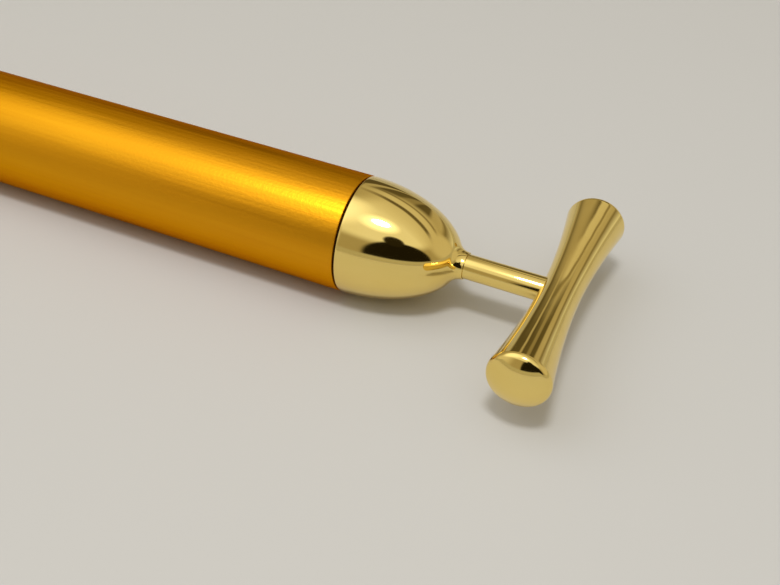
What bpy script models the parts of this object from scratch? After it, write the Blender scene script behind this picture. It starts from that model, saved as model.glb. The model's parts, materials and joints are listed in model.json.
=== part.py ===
"""A T-bar facial massager: a battery handle with a vibrating head that twists on and off.

The massager is modelled standing on its tail, along +Z, and is laid down at the end by one
empty, so that its head points along +X, its cross bar lies along Y and the handle rests on
the ground. All sizes are in metres.
"""

from math import acos, asin, atan2, cos, pi, radians, sin, tau

import bmesh
import bpy
from mathutils import Vector

# Handle tube, round the cell
CELL_GAP = 0.0004
HANDLE_WALL = 0.001
TUBE_EDGE_CHAMFER = 0.00015
THREAD_SEAT_STEP = 0.0003
THREAD_SEAT_RUNOUT = 0.00125
THREAD_SEAT_TAPER = 0.0003

# Tail cap, pressed into the tube, and the room that the battery spring has at rest
TAIL_LENGTH = 0.0095
TAIL_ROUNDING = 0.0055
TAIL_FACE_RADIUS = 0.003
TAIL_BOSS_LENGTH = 0.0165
SPRING_STUB_RADIUS = 0.0034
SPRING_STUB_HEIGHT = 0.0016
BOSS_CHAMFER = 0.0005
SPRING_ROOM = 0.016

# Clearances
PRESS_GAP = 0.00005
SEAM_GAP = 0.0003
CONTACT_GAP = 0.00015
RUNNING_GAP = 0.00008
CUT_OVERRUN = 0.001

# Head shell
DOME_LENGTH = 0.0153
DOME_BLEND_WIDTH = 0.00095
NOSE_LIP = 0.0002
NECK_LENGTH = 0.01425
DOME_RIM = 0.00035
DOME_CAVITY_STEP = 0.00015
SHAFT_END_ROOM = 0.0009

# Neck stem
STEM_RADIUS = 0.00175
STEM_INNER_STAND = 0.0003
STEM_CHAMFER = 0.0002
STEM_TENON = 0.0006
TENON_END_GAP = 0.0003

# Cross bar
BAR_LENGTH = 0.0388
BAR_END_RADIUS = 0.00425
BAR_CAP_HEIGHT = 0.0021
BAR_CAP_EDGE = 0.0011
BAR_WAIST_WALL = 0.001
BAR_CURVE_POWER = 1.8

# Screw sleeve between head and tube
MOTOR_SLEEVE_GAP = 0.00015
PLUG_NECK_WALL = 0.00075
PLUG_NECK_LENGTH = 0.0052
PLUG_SHOULDER_HEIGHT = 0.0004
THREAD_GAP = 0.00025
PLUG_THREAD_LENGTH = 0.00865
PLUG_END_CHAMFER = 0.00035
GROOVE_START = 0.0006
GROOVE_WIDTH = 0.0012
O_RING_SECTION = 0.00045

# Strip that feeds the contact ring
STRIP_GAP = 0.0002
STRIP_THICKNESS = 0.00025
STRIP_WIDTH = 0.0016
STRIP_TAIL_SHARE = 3 / 7
SLOT_MARGIN = 0.0001

# Motor cup
CUP_GAP = 0.0004
CUP_WALL = 0.001
LEAD_ROOM = 0.0035
CUP_FLOOR = 0.0012
CUP_CHAMFER = 0.0004

# Contact button
BUTTON_HEAD_RADIUS = 0.0026
BUTTON_HEAD_HEIGHT = 0.0008
BUTTON_SHANK_RADIUS = 0.0012
BUTTON_FLANGE_RADIUS = 0.002
BUTTON_FLANGE_HEIGHT = 0.0005
BUTTON_EDGE = 0.0002

# Motor casing
MOTOR_FIT = 0.0001
MOTOR_WALL = 0.0005
MOTOR_LENGTH = 0.022
MOTOR_FRONT_DEPTH = 0.0006
MOTOR_EDGE = 0.0003
NOSE_BOSS_WALL = 0.0005
NOSE_BOSS_HEIGHT = 0.0008
BUSH_WALL = 0.00072
BUSH_TAIL = 0.001
END_BELL_DEPTH = 0.0026
END_BELL_FLANGE = 0.0006
REAR_BUSH_LENGTH = 0.0022

# Magnets
MAGNET_THICKNESS = 0.001
MAGNET_FRONT_CLEARANCE = 0.0027
MAGNET_REAR_CLEARANCE = 0.0037
MAGNET_SPAN = radians(112)

# Brushes and terminals
BRUSH_THICKNESS = 0.00015
BRUSH_WIDTH = 0.0014
BRUSH_TIP = 0.0015
BRUSH_ROOT_INSET = 0.002
BRUSH_FOOT_WIDTH = 0.0008
TERMINAL_INSET = 0.002
TERMINAL_THICKNESS = 0.0003
TERMINAL_WIDTH = 0.0016
TERMINAL_LENGTH = 0.0028
TERMINAL_HOLE_RADIUS = 0.0004

# Armature
SHAFT_RADIUS = 0.00075
SHAFT_TAIL = 0.0002
AIR_GAP = 0.0003
CORE_HUB_WALL = 0.0009
CORE_FRONT_CLEARANCE = 0.0041
CORE_REAR_CLEARANCE = 0.0048
POLE_NECK_WIDTH = 0.0014
POLE_SHOE_THICKNESS = 0.0006
POLE_SHOE_SPAN = radians(100)
POLE_COUNT = 3
WINDING_FILL_SHARE = 12 / 17
WINDING_WIDTH = 0.0007
WINDING_GAP = 0.0001

# Commutator and thrust washers
COMMUTATOR_HUB_WALL = 0.00045
COMMUTATOR_LENGTH = 0.0022
SEGMENT_THICKNESS = 0.00045
SEGMENT_SPAN = radians(108)
BRUSH_GAP = 0.0001
WASHER_THICKNESS = 0.0003
WASHER_WIDTH = 0.0007

# Eccentric weight
WEIGHT_GAP = 0.00125
WEIGHT_HUB_WALL = 0.0009
WEIGHT_LENGTH = 0.0053
WEIGHT_STAND = 0.0007
WEIGHT_HALF_SPAN = radians(82)
SHAFT_FRONT_STAND = 0.0003

# AA cell
CELL_LENGTH = 0.0505
CELL_RADIUS = 0.0071
JACKET_THICKNESS = 0.0002
CAN_THICKNESS = 0.00025
NUB_RADIUS = 0.00275
NUB_HEIGHT = 0.0012
NUB_EDGE = 0.00015
CAN_SHOULDER = 0.0003
CAP_FACE_RADIUS = 0.0043
CAP_RIM_HEIGHT = 0.0007
CAP_THICKNESS = 0.0003
SEAL_THICKNESS = 0.0016
SEAL_BORE_RADIUS = 0.0026
CAN_FOOT = 0.00025

# Battery spring
SPRING_WIRE_RADIUS = 0.00035
SPRING_STUB_GAP = 0.00045
SPRING_TAPER = 0.0006
SPRING_TURNS = 6
SPRING_POINTS_PER_TURN = 10

# Leads
LEAD_RADIUS = 0.00045
LEAD_BEND_RADIUS = 0.0015

# Faces round each kind of turned piece
BODY_STEPS = 40
BAR_STEPS = 32
SMALL_STEPS = 24
PIN_STEPS = 20
SEAL_STEPS = 8
ARC_POINTS = 6
CAP_POINTS = 4
LEAD_SWAY_POINTS = 8
SMOOTH_ANGLE = radians(32)
MERGE_DISTANCE = 0.00001

# Radii outwards from the cell to the handle's skin, and inwards again to the motor
tube_bore_radius = CELL_RADIUS + CELL_GAP
handle_radius = tube_bore_radius + HANDLE_WALL
thread_seat_radius = tube_bore_radius + THREAD_SEAT_STEP
plug_thread_radius = thread_seat_radius - THREAD_GAP
cup_radius = tube_bore_radius - CUP_GAP
cup_bore_radius = cup_radius - CUP_WALL
motor_radius = cup_bore_radius - MOTOR_FIT
motor_bore_radius = motor_radius - MOTOR_WALL
plug_bore_radius = motor_radius + MOTOR_SLEEVE_GAP
plug_neck_radius = plug_bore_radius + PLUG_NECK_WALL
strip_inner_radius = motor_radius + STRIP_GAP
dome_pocket_radius = handle_radius - DOME_RIM
dome_cavity_radius = plug_bore_radius - DOME_CAVITY_STEP
weight_radius = plug_bore_radius - WEIGHT_GAP

# Radii in the motor
magnet_outer_radius = motor_bore_radius - 2 * PRESS_GAP
magnet_inner_radius = magnet_outer_radius - MAGNET_THICKNESS
core_radius = magnet_inner_radius - AIR_GAP
shoe_inner_radius = core_radius - POLE_SHOE_THICKNESS
shaft_seat_radius = SHAFT_RADIUS + PRESS_GAP
core_hub_radius = shaft_seat_radius + CORE_HUB_WALL
winding_inner_radius = core_hub_radius + WINDING_GAP
winding_height = WINDING_FILL_SHARE * (shoe_inner_radius - winding_inner_radius)
commutator_hub_radius = shaft_seat_radius + COMMUTATOR_HUB_WALL
commutator_radius = commutator_hub_radius + PRESS_GAP + SEGMENT_THICKNESS
shaft_bore_radius = SHAFT_RADIUS + RUNNING_GAP
bush_radius = shaft_bore_radius + BUSH_WALL

# Radii on the neck, the cross bar and the spring
stem_hole_radius = STEM_RADIUS + PRESS_GAP
nose_radius = STEM_RADIUS + NOSE_LIP
dome_blend_radius = nose_radius + DOME_BLEND_WIDTH
bar_waist_radius = STEM_RADIUS + BAR_WAIST_WALL
spring_base_radius = SPRING_STUB_RADIUS + SPRING_STUB_GAP + SPRING_WIRE_RADIUS

# Levels in the head, from its rear face down to the contact button and up to the cavity
motor_front = -MOTOR_FRONT_DEPTH
motor_rear = motor_front - MOTOR_LENGTH
motor_inner_front = motor_front - MOTOR_WALL
end_bell_face = motor_rear + END_BELL_DEPTH
tab_foot = motor_rear - END_BELL_FLANGE - TERMINAL_LENGTH
strip_tail = tab_foot - STRIP_TAIL_SHARE * LEAD_ROOM
cup_floor_top = tab_foot - LEAD_ROOM
cup_foot = cup_floor_top - CUP_FLOOR
button_top = cup_foot - PRESS_GAP
button_foot = button_top - BUTTON_HEAD_HEIGHT
commutator_centre = end_bell_face + PRESS_GAP + BRUSH_WIDTH / 2 + COMMUTATOR_LENGTH / 2
nose_boss_top = motor_front + NOSE_BOSS_HEIGHT
weight_foot = nose_boss_top + WEIGHT_STAND
shaft_top = weight_foot + WEIGHT_LENGTH + SHAFT_FRONT_STAND
dome_cavity_end = shaft_top + SHAFT_END_ROOM
magnet_length = MOTOR_LENGTH - END_BELL_DEPTH - MAGNET_FRONT_CLEARANCE - MAGNET_REAR_CLEARANCE
core_top = motor_inner_front - CORE_FRONT_CLEARANCE
core_length = core_top - CORE_REAR_CLEARANCE - end_bell_face

# Levels along the standing massager, from the tail's end upwards: the tube is as long as
# what it holds
tube_foot = TAIL_LENGTH + PRESS_GAP
boss_top = TAIL_LENGTH + TAIL_BOSS_LENGTH
cell_foot = boss_top + SPRING_ROOM
dome_face = cell_foot + CELL_LENGTH + CONTACT_GAP - button_foot
tube_mouth = dome_face - SEAM_GAP
bar_axis = dome_face + DOME_LENGTH + NECK_LENGTH
total_length = bar_axis + BAR_END_RADIUS

# Where the cross bar is widest, from its middle
bar_crease = BAR_LENGTH / 2 - BAR_CAP_HEIGHT

body_half_step = pi / BODY_STEPS

COLOURS = {
    "anodised_aluminium": ((0.72, 0.34, 0.07), 0.38, 1.0),
    "gold_plating": ((0.86, 0.63, 0.27), 0.08, 1.0),
    "spring_steel": ((0.62, 0.62, 0.6), 0.3, 1.0),
    "nickel_plating": ((0.7, 0.69, 0.66), 0.2, 1.0),
    "cell_jacket": ((0.05, 0.06, 0.07), 0.35, 0.0),
    "cell_filling": ((0.09, 0.09, 0.09), 0.9, 0.0),
    "white_nylon": ((0.82, 0.81, 0.76), 0.45, 0.0),
    "black_plastic": ((0.03, 0.03, 0.032), 0.5, 0.0),
    "black_rubber": ((0.02, 0.02, 0.02), 0.75, 0.0),
    "brass": ((0.75, 0.55, 0.22), 0.25, 1.0),
    "motor_steel": ((0.5, 0.5, 0.5), 0.32, 1.0),
    "ferrite": ((0.07, 0.07, 0.075), 0.7, 0.0),
    "core_steel": ((0.32, 0.32, 0.33), 0.45, 1.0),
    "copper_wire": ((0.72, 0.3, 0.12), 0.3, 1.0),
    "bronze": ((0.55, 0.36, 0.16), 0.5, 1.0),
    "red_insulation": ((0.6, 0.04, 0.03), 0.5, 0.0),
    "black_insulation": ((0.02, 0.02, 0.02), 0.5, 0.0),
    "phenolic": ((0.25, 0.12, 0.05), 0.6, 0.0),
}


def clear_scene():
    """Remove what the open file holds."""
    for old in list(bpy.data.objects):
        bpy.data.objects.remove(old, do_unlink=True)


def new_collection(name):
    """A collection under the scene's own."""
    collection = bpy.data.collections.new(name)
    bpy.context.scene.collection.children.link(collection)
    return collection


def material(name):
    """The material of that name, made on first use."""
    found = bpy.data.materials.get(name)
    if found:
        return found
    colour, roughness, metallic = COLOURS[name]
    made = bpy.data.materials.new(name)
    made.use_nodes = True
    shader = made.node_tree.nodes["Principled BSDF"]
    shader.inputs["Base Color"].default_value = (*colour, 1.0)
    shader.inputs["Roughness"].default_value = roughness
    shader.inputs["Metallic"].default_value = metallic
    made.diffuse_color = (*colour, 1.0)
    return made


def empty(name, parent=None, height=0.0):
    """An empty on the massager's axis, which carries the pieces of one moving body."""
    frame = bpy.data.objects.new(name, None)
    frame.empty_display_size = handle_radius
    frame.location.z = height
    frame.parent = parent
    parts.objects.link(frame)
    return frame


def place(piece, parent, height=0.0, turn=0.0, collection=None):
    """Put a piece under its body's empty."""
    piece.parent = parent
    piece.location.z = height
    piece.rotation_euler.z = turn
    (collection or parts).objects.link(piece)
    return piece


def arc(centre, radius, start, end, points=ARC_POINTS):
    """Points of an arc about a centre, both ends included."""
    return [
        (centre[0] + radius * cos(start + (end - start) * i / (points - 1)),
         centre[1] + radius * sin(start + (end - start) * i / (points - 1)))
        for i in range(points)
    ]


def turned(name, profile, finish, steps, closed=True):
    """A turned piece: a profile of (radius, height) points, outer side first and downwards."""
    mesh = bpy.data.meshes.new(name)
    edges = [(i, i + 1) for i in range(len(profile) - 1)]
    if closed:
        edges.append((len(profile) - 1, 0))
    mesh.from_pydata([(radius, 0, height) for radius, height in profile], edges, [])
    piece = bpy.data.objects.new(name, mesh)
    screw = piece.modifiers.new("Turn", "SCREW")
    screw.axis = "Z"
    screw.angle = tau
    screw.steps = steps
    screw.render_steps = steps
    screw.use_merge_vertices = True
    screw.merge_threshold = MERGE_DISTANCE
    return finished(piece, finish)


def finished(piece, finish):
    """Apply a loose piece's modifiers, smooth its round sides and give it its material."""
    bpy.context.scene.collection.objects.link(piece)
    evaluated = piece.evaluated_get(bpy.context.evaluated_depsgraph_get())
    mesh = bpy.data.meshes.new_from_object(evaluated)
    name = piece.name
    bpy.data.objects.remove(piece)
    weld(mesh)
    mesh.shade_smooth()
    mesh.set_sharp_from_angle(angle=SMOOTH_ANGLE)
    if finish:
        mesh.materials.clear()
        mesh.materials.append(material(finish))
    mesh.name = name
    return bpy.data.objects.new(name, mesh)


def weld(mesh):
    """Join the loose seams that curves and turned poles leave."""
    work = bmesh.new()
    work.from_mesh(mesh)
    bmesh.ops.remove_doubles(work, verts=work.verts, dist=MERGE_DISTANCE)
    work.to_mesh(mesh)
    work.free()


def plate(name, outlines, thickness, finish):
    """A flat piece: closed outlines in its own XY plane, the later ones being holes."""
    curve = bpy.data.curves.new(name, "CURVE")
    curve.dimensions = "2D"
    curve.fill_mode = "BOTH"
    curve.extrude = thickness / 2
    for outline in outlines:
        spline = curve.splines.new("POLY")
        spline.points.add(len(outline) - 1)
        for point, place_xy in zip(spline.points, outline):
            point.co = (*place_xy, 0, 1)
        spline.use_cyclic_u = True
    return finished(bpy.data.objects.new(name, curve), finish)


def wire(name, points, radius, finish, resolution=2):
    """A round wire through its points."""
    curve = bpy.data.curves.new(name, "CURVE")
    curve.dimensions = "3D"
    curve.bevel_depth = radius
    curve.bevel_resolution = resolution
    curve.use_fill_caps = True
    spline = curve.splines.new("POLY")
    spline.points.add(len(points) - 1)
    for point, co in zip(spline.points, points):
        point.co = (*co, 1)
    return finished(bpy.data.objects.new(name, curve), finish)


def circle(radius, steps=PIN_STEPS):
    """A closed round outline."""
    return [(radius * cos(tau * i / steps), radius * sin(tau * i / steps)) for i in range(steps)]


def ring_profile(inner, outer, low, high):
    """The section of a plain ring."""
    return [(outer, high), (outer, low), (inner, low), (inner, high)]


def cut(piece, cutter):
    """Cut a piece by a cutter that stays in the cutters' collection."""
    cutter.hide_render = True
    cutter.display_type = "WIRE"
    boolean = piece.modifiers.new("Cut by " + cutter.name, "BOOLEAN")
    boolean.operation = "DIFFERENCE"
    boolean.solver = "EXACT"
    boolean.object = cutter


def box_cutter(name, low, high, parent):
    """A box between two corners, for cutting."""
    work = bmesh.new()
    bmesh.ops.create_cube(work, size=1)
    size = [high[i] - low[i] for i in range(3)]
    centre = [(high[i] + low[i]) / 2 for i in range(3)]
    bmesh.ops.scale(work, vec=size, verts=work.verts)
    bmesh.ops.translate(work, vec=centre, verts=work.verts)
    mesh = bpy.data.meshes.new(name)
    work.to_mesh(mesh)
    work.free()
    return place(bpy.data.objects.new(name, mesh), parent, collection=cutters)


def make_handle_tube():
    """Thin tube with a seat for the screw sleeve bored into its mouth."""
    seat_foot = tube_mouth - PLUG_THREAD_LENGTH - THREAD_SEAT_RUNOUT
    profile = [
        (thread_seat_radius, tube_mouth),
        (handle_radius - TUBE_EDGE_CHAMFER, tube_mouth),
        (handle_radius, tube_mouth - TUBE_EDGE_CHAMFER),
        (handle_radius, tube_foot + TUBE_EDGE_CHAMFER),
        (handle_radius - TUBE_EDGE_CHAMFER, tube_foot),
        (tube_bore_radius, tube_foot),
        (tube_bore_radius, seat_foot - THREAD_SEAT_TAPER),
        (thread_seat_radius, seat_foot),
    ]
    tube = turned("handle_tube", profile, "anodised_aluminium", BODY_STEPS)
    place(tube, handle_frame, turn=body_half_step)


def make_tail_cap():
    """Rounded tail with a flat end, a boss pressed into the tube and a stub for the spring."""
    boss_radius = tube_bore_radius - PRESS_GAP
    rounding_width = handle_radius - TAIL_FACE_RADIUS
    rounding = [
        (TAIL_FACE_RADIUS + rounding_width * cos(angle), TAIL_ROUNDING * (1 - sin(angle)))
        for angle in [pi / 2 * i / (ARC_POINTS + 1) for i in range(ARC_POINTS + 2)]
    ]
    profile = [
        (0, boss_top + SPRING_STUB_HEIGHT),
        (SPRING_STUB_RADIUS - BOSS_CHAMFER, boss_top + SPRING_STUB_HEIGHT),
        (SPRING_STUB_RADIUS, boss_top + SPRING_STUB_HEIGHT - BOSS_CHAMFER),
        (SPRING_STUB_RADIUS, boss_top),
        (boss_radius - BOSS_CHAMFER, boss_top),
        (boss_radius, boss_top - BOSS_CHAMFER),
        (boss_radius, TAIL_LENGTH),
        (handle_radius - TUBE_EDGE_CHAMFER, TAIL_LENGTH),
        (handle_radius, TAIL_LENGTH - TUBE_EDGE_CHAMFER),
    ]
    profile += rounding
    profile.append((0, 0))
    tail = turned("tail_cap", profile, "gold_plating", BODY_STEPS, closed=False)
    place(tail, handle_frame, turn=body_half_step)


def make_tail_spring():
    """Tapered coil between the tail's boss and the cell, with a flat turn at each end."""
    low = boss_top + SPRING_WIRE_RADIUS + PRESS_GAP
    high = cell_foot - SPRING_WIRE_RADIUS - PRESS_GAP
    flat_rise = 2 * SPRING_WIRE_RADIUS + CONTACT_GAP
    count = SPRING_TURNS * SPRING_POINTS_PER_TURN
    points = []
    for i in range(count + 1):
        turns = i / SPRING_POINTS_PER_TURN
        if turns < 1:
            rise = flat_rise * turns
        elif turns > SPRING_TURNS - 1:
            rise = high - low - flat_rise * (SPRING_TURNS - turns)
        else:
            middle_share = (turns - 1) / (SPRING_TURNS - 2)
            rise = flat_rise + middle_share * (high - low - 2 * flat_rise)
        radius = spring_base_radius - SPRING_TAPER * i / count
        points.append((radius * cos(tau * turns), radius * sin(tau * turns), low + rise))
    spring = wire("tail_spring", points, SPRING_WIRE_RADIUS, "spring_steel")
    place(spring, handle_frame)


def make_cell():
    """An AA cell with its plus nub towards the head, as seen from its own foot."""
    can_radius = CELL_RADIUS - JACKET_THICKNESS - PRESS_GAP
    can_bore = can_radius - CAN_THICKNESS
    shoulder = CELL_LENGTH - NUB_HEIGHT
    can_profile = [
        (0, CELL_LENGTH),
        (NUB_RADIUS - NUB_EDGE, CELL_LENGTH),
        (NUB_RADIUS, CELL_LENGTH - NUB_EDGE),
        (NUB_RADIUS, shoulder),
        (can_radius - CAN_SHOULDER, shoulder),
        (can_radius, shoulder - CAN_SHOULDER),
        (can_radius, CAN_FOOT),
        (can_bore, CAN_FOOT),
        (can_bore, shoulder - CAN_SHOULDER),
        (0, shoulder - CAN_SHOULDER),
    ]
    can = turned("battery_can", can_profile, "nickel_plating", BODY_STEPS, closed=False)
    place(can, cell_frame, turn=body_half_step)

    jacket_profile = ring_profile(can_radius + PRESS_GAP, CELL_RADIUS,
                                  CAN_FOOT, shoulder - CAN_SHOULDER)
    jacket = turned("battery_jacket", jacket_profile, "cell_jacket", BODY_STEPS)
    place(jacket, cell_frame, turn=body_half_step)

    seal_foot = CAP_RIM_HEIGHT + PRESS_GAP
    seal_top = seal_foot + SEAL_THICKNESS
    insert_radius = can_bore - PRESS_GAP
    seal_profile = ring_profile(SEAL_BORE_RADIUS, insert_radius, seal_foot, seal_top)
    seal = turned("battery_seal", seal_profile, "white_nylon", SMALL_STEPS)
    place(seal, cell_frame)

    core_top = shoulder - CAN_SHOULDER - PRESS_GAP
    core_profile = [
        (0, core_top),
        (insert_radius, core_top),
        (insert_radius, seal_top + PRESS_GAP),
        (0, seal_top + PRESS_GAP),
    ]
    core = turned("battery_core", core_profile, "cell_filling", SMALL_STEPS, closed=False)
    place(core, cell_frame)

    rim_inner = CAP_FACE_RADIUS + CAP_THICKNESS
    cap_profile = [
        (0, CAP_THICKNESS),
        (CAP_FACE_RADIUS - CAP_THICKNESS, CAP_THICKNESS),
        (CAP_FACE_RADIUS, CAP_RIM_HEIGHT),
        (insert_radius, CAP_RIM_HEIGHT),
        (insert_radius, CAP_RIM_HEIGHT - CAP_THICKNESS),
        (rim_inner, CAP_RIM_HEIGHT - CAP_THICKNESS),
        (CAP_FACE_RADIUS, 0),
        (0, 0),
    ]
    cap = turned("battery_negative_cap", cap_profile, "nickel_plating", SMALL_STEPS, closed=False)
    place(cap, cell_frame)


def dome_outline():
    """The bell: half an ellipse that runs into a hollow fillet at the nose."""
    blend_angle = acos(dome_blend_radius / handle_radius)
    blend_height = DOME_LENGTH * sin(blend_angle)
    normal = Vector((dome_blend_radius / handle_radius ** 2, blend_height / DOME_LENGTH ** 2))
    normal.normalize()
    fillet_radius = (dome_blend_radius - nose_radius) / (1 - normal.x)
    centre = (nose_radius + fillet_radius, blend_height + fillet_radius * normal.y)
    end_angle = pi + asin(normal.y)
    fillet = arc(centre, fillet_radius, pi, end_angle)
    bell_points = 2 * ARC_POINTS
    bell = [
        (handle_radius * cos(blend_angle * (1 - i / bell_points)),
         DOME_LENGTH * sin(blend_angle * (1 - i / bell_points)))
        for i in range(1, bell_points + 1)
    ]
    return fillet + bell


def make_head_dome():
    """Polished bell that closes the handle and carries the stem in its nose."""
    outline = dome_outline()
    nose_height = outline[0][1]
    pocket_height = PLUG_SHOULDER_HEIGHT + PRESS_GAP
    seat_radius = plug_neck_radius + PRESS_GAP
    profile = [(stem_hole_radius, nose_height)] + outline
    profile += [
        (dome_pocket_radius, 0),
        (dome_pocket_radius, pocket_height),
        (seat_radius, pocket_height),
        (seat_radius, PLUG_NECK_LENGTH + PRESS_GAP),
        (dome_cavity_radius, PLUG_NECK_LENGTH + PRESS_GAP),
        (dome_cavity_radius, dome_cavity_end),
        (stem_hole_radius, dome_cavity_end),
    ]
    dome = turned("head_dome", profile, "gold_plating", BODY_STEPS)
    place(dome, head_frame, turn=body_half_step)


def make_neck_stem():
    """Round stem, pressed through the dome's nose and into the cross bar."""
    low = dome_cavity_end - STEM_INNER_STAND
    high = DOME_LENGTH + NECK_LENGTH + STEM_TENON
    profile = [
        (0, high),
        (STEM_RADIUS - STEM_CHAMFER, high),
        (STEM_RADIUS, high - STEM_CHAMFER),
        (STEM_RADIUS, low + STEM_CHAMFER),
        (STEM_RADIUS - STEM_CHAMFER, low),
        (0, low),
    ]
    stem = turned("neck_stem", profile, "gold_plating", PIN_STEPS, closed=False)
    place(stem, head_frame)


def bar_outline():
    """Half of the cross bar from its end to its middle.

    A shallow cap with a rounded edge meets, at a crease, the flare that runs to a slim waist.
    """
    edge_centre = (BAR_END_RADIUS - BAR_CAP_EDGE, bar_crease)
    cap_radius = (
        (BAR_CAP_HEIGHT ** 2 + edge_centre[0] ** 2 - BAR_CAP_EDGE ** 2)
        / (2 * (BAR_CAP_HEIGHT - BAR_CAP_EDGE))
    )
    join_angle = atan2(cap_radius - BAR_CAP_HEIGHT, edge_centre[0])
    cap = arc((0, BAR_LENGTH / 2 - cap_radius), cap_radius, pi / 2, join_angle, CAP_POINTS)
    cap[0] = (0, BAR_LENGTH / 2)
    edge = arc(edge_centre, BAR_CAP_EDGE, join_angle, 0, CAP_POINTS)
    rise = BAR_END_RADIUS - bar_waist_radius
    waist = []
    for i in range(1, ARC_POINTS + 1):
        along = 1 - i / ARC_POINTS
        waist.append((bar_waist_radius + rise * along ** BAR_CURVE_POWER, bar_crease * along))
    return cap + edge[1:] + waist


def make_t_bar():
    """Cross bar turned about its own length, with a blind hole for the stem in its middle."""
    half = bar_outline()
    profile = half + [(radius, -height) for radius, height in reversed(half[:-1])]
    bar = turned("t_bar", profile, "gold_plating", BAR_STEPS, closed=False)
    place(bar, head_frame, height=DOME_LENGTH + NECK_LENGTH)
    bar.rotation_euler.x = -pi / 2

    hole_end = STEM_TENON + TENON_END_GAP
    drill_profile = [
        (0, hole_end),
        (stem_hole_radius, hole_end),
        (stem_hole_radius, -bar_waist_radius - CUT_OVERRUN),
        (0, -bar_waist_radius - CUT_OVERRUN),
    ]
    drill = turned("stem_hole_cutter", drill_profile, None, PIN_STEPS, closed=False)
    place(drill, head_frame, height=DOME_LENGTH + NECK_LENGTH, collection=cutters)
    cut(bar, drill)


def make_thread_plug():
    """Screw sleeve: a neck and shoulder in the dome, a groove for the seal and the thread."""
    groove_radius = thread_seat_radius - 2 * O_RING_SECTION - 2 * PRESS_GAP
    groove_end = GROOVE_START + GROOVE_WIDTH
    profile = [
        (plug_bore_radius, PLUG_NECK_LENGTH),
        (plug_neck_radius, PLUG_NECK_LENGTH),
        (plug_neck_radius, PLUG_SHOULDER_HEIGHT),
        (plug_thread_radius, PLUG_SHOULDER_HEIGHT),
        (plug_thread_radius, -GROOVE_START),
        (groove_radius - PRESS_GAP, -GROOVE_START),
        (groove_radius - PRESS_GAP, -groove_end),
        (plug_thread_radius, -groove_end),
        (plug_thread_radius, PLUG_END_CHAMFER - PLUG_THREAD_LENGTH),
        (plug_thread_radius - PLUG_END_CHAMFER, -PLUG_THREAD_LENGTH),
        (plug_bore_radius, -PLUG_THREAD_LENGTH),
    ]
    plug = turned("thread_plug", profile, "black_plastic", BODY_STEPS)
    place(plug, head_frame, turn=body_half_step)
    cut(plug, strip_slot)
    foot_notch = box_cutter(
        "strip_foot_notch",
        (-handle_radius, -STRIP_WIDTH / 2 - SLOT_MARGIN, 0),
        (-strip_inner_radius, STRIP_WIDTH / 2 + SLOT_MARGIN, PLUG_SHOULDER_HEIGHT + SLOT_MARGIN),
        head_frame)
    cut(plug, foot_notch)


def make_head_o_ring():
    """Rubber seal in the sleeve's groove."""
    centre_radius = thread_seat_radius - O_RING_SECTION - 2 * PRESS_GAP
    section = [
        (centre_radius + O_RING_SECTION * cos(tau * i / SEAL_STEPS),
         -O_RING_SECTION * sin(tau * i / SEAL_STEPS))
        for i in range(SEAL_STEPS)
    ]
    seal = turned("head_o_ring", section, "black_rubber", BODY_STEPS)
    place(seal, head_frame, height=-GROOVE_START - GROOVE_WIDTH / 2, turn=body_half_step)


def make_contact_ring():
    """Brass ring round the sleeve's shoulder, which meets the tube's edge."""
    inner = plug_thread_radius + PRESS_GAP
    outer = dome_pocket_radius - PRESS_GAP
    profile = ring_profile(inner, outer, 0, PLUG_SHOULDER_HEIGHT)
    ring = turned("contact_ring", profile, "brass", BODY_STEPS)
    place(ring, head_frame, turn=body_half_step)


def make_contact_strip():
    """Brass strip along the motor, whose foot turns outwards to the contact ring."""
    inner = strip_inner_radius
    outer = strip_inner_radius + STRIP_THICKNESS
    foot_end = plug_thread_radius - SLOT_MARGIN
    foot_low = PLUG_SHOULDER_HEIGHT - STRIP_THICKNESS
    outline = [
        (-inner, strip_tail),
        (-inner, PLUG_SHOULDER_HEIGHT),
        (-foot_end, PLUG_SHOULDER_HEIGHT),
        (-foot_end, foot_low),
        (-outer, foot_low),
        (-outer, strip_tail),
    ]
    strip = plate("contact_strip", [outline], STRIP_WIDTH, "brass")
    place(strip, head_frame)
    strip.rotation_euler.x = pi / 2


def make_motor_cup():
    """Moulded cup over the rear of the motor, with a floor for the contact button."""
    front = -PLUG_THREAD_LENGTH - PRESS_GAP
    hole = BUTTON_SHANK_RADIUS + PRESS_GAP
    profile = [
        (cup_bore_radius, front),
        (cup_radius - CUP_CHAMFER, front),
        (cup_radius, front - CUP_CHAMFER),
        (cup_radius, cup_foot + CUP_CHAMFER),
        (cup_radius - CUP_CHAMFER, cup_foot),
        (hole, cup_foot),
        (hole, cup_floor_top),
        (cup_bore_radius, cup_floor_top),
    ]
    cup = turned("motor_cup", profile, "black_plastic", BODY_STEPS)
    place(cup, head_frame, turn=body_half_step)
    cut(cup, strip_slot)


def make_contact_button():
    """Brass rivet through the cup's floor, which meets the cell's plus nub."""
    flange_foot = cup_floor_top + PRESS_GAP
    flange_top = flange_foot + BUTTON_FLANGE_HEIGHT
    profile = [
        (0, flange_top),
        (BUTTON_FLANGE_RADIUS, flange_top),
        (BUTTON_FLANGE_RADIUS, flange_foot),
        (BUTTON_SHANK_RADIUS, flange_foot),
        (BUTTON_SHANK_RADIUS, button_top),
        (BUTTON_HEAD_RADIUS, button_top),
        (BUTTON_HEAD_RADIUS, button_foot + BUTTON_EDGE),
        (BUTTON_HEAD_RADIUS - BUTTON_EDGE, button_foot),
        (0, button_foot),
    ]
    button = turned("contact_button", profile, "brass", PIN_STEPS, closed=False)
    place(button, head_frame)


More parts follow.
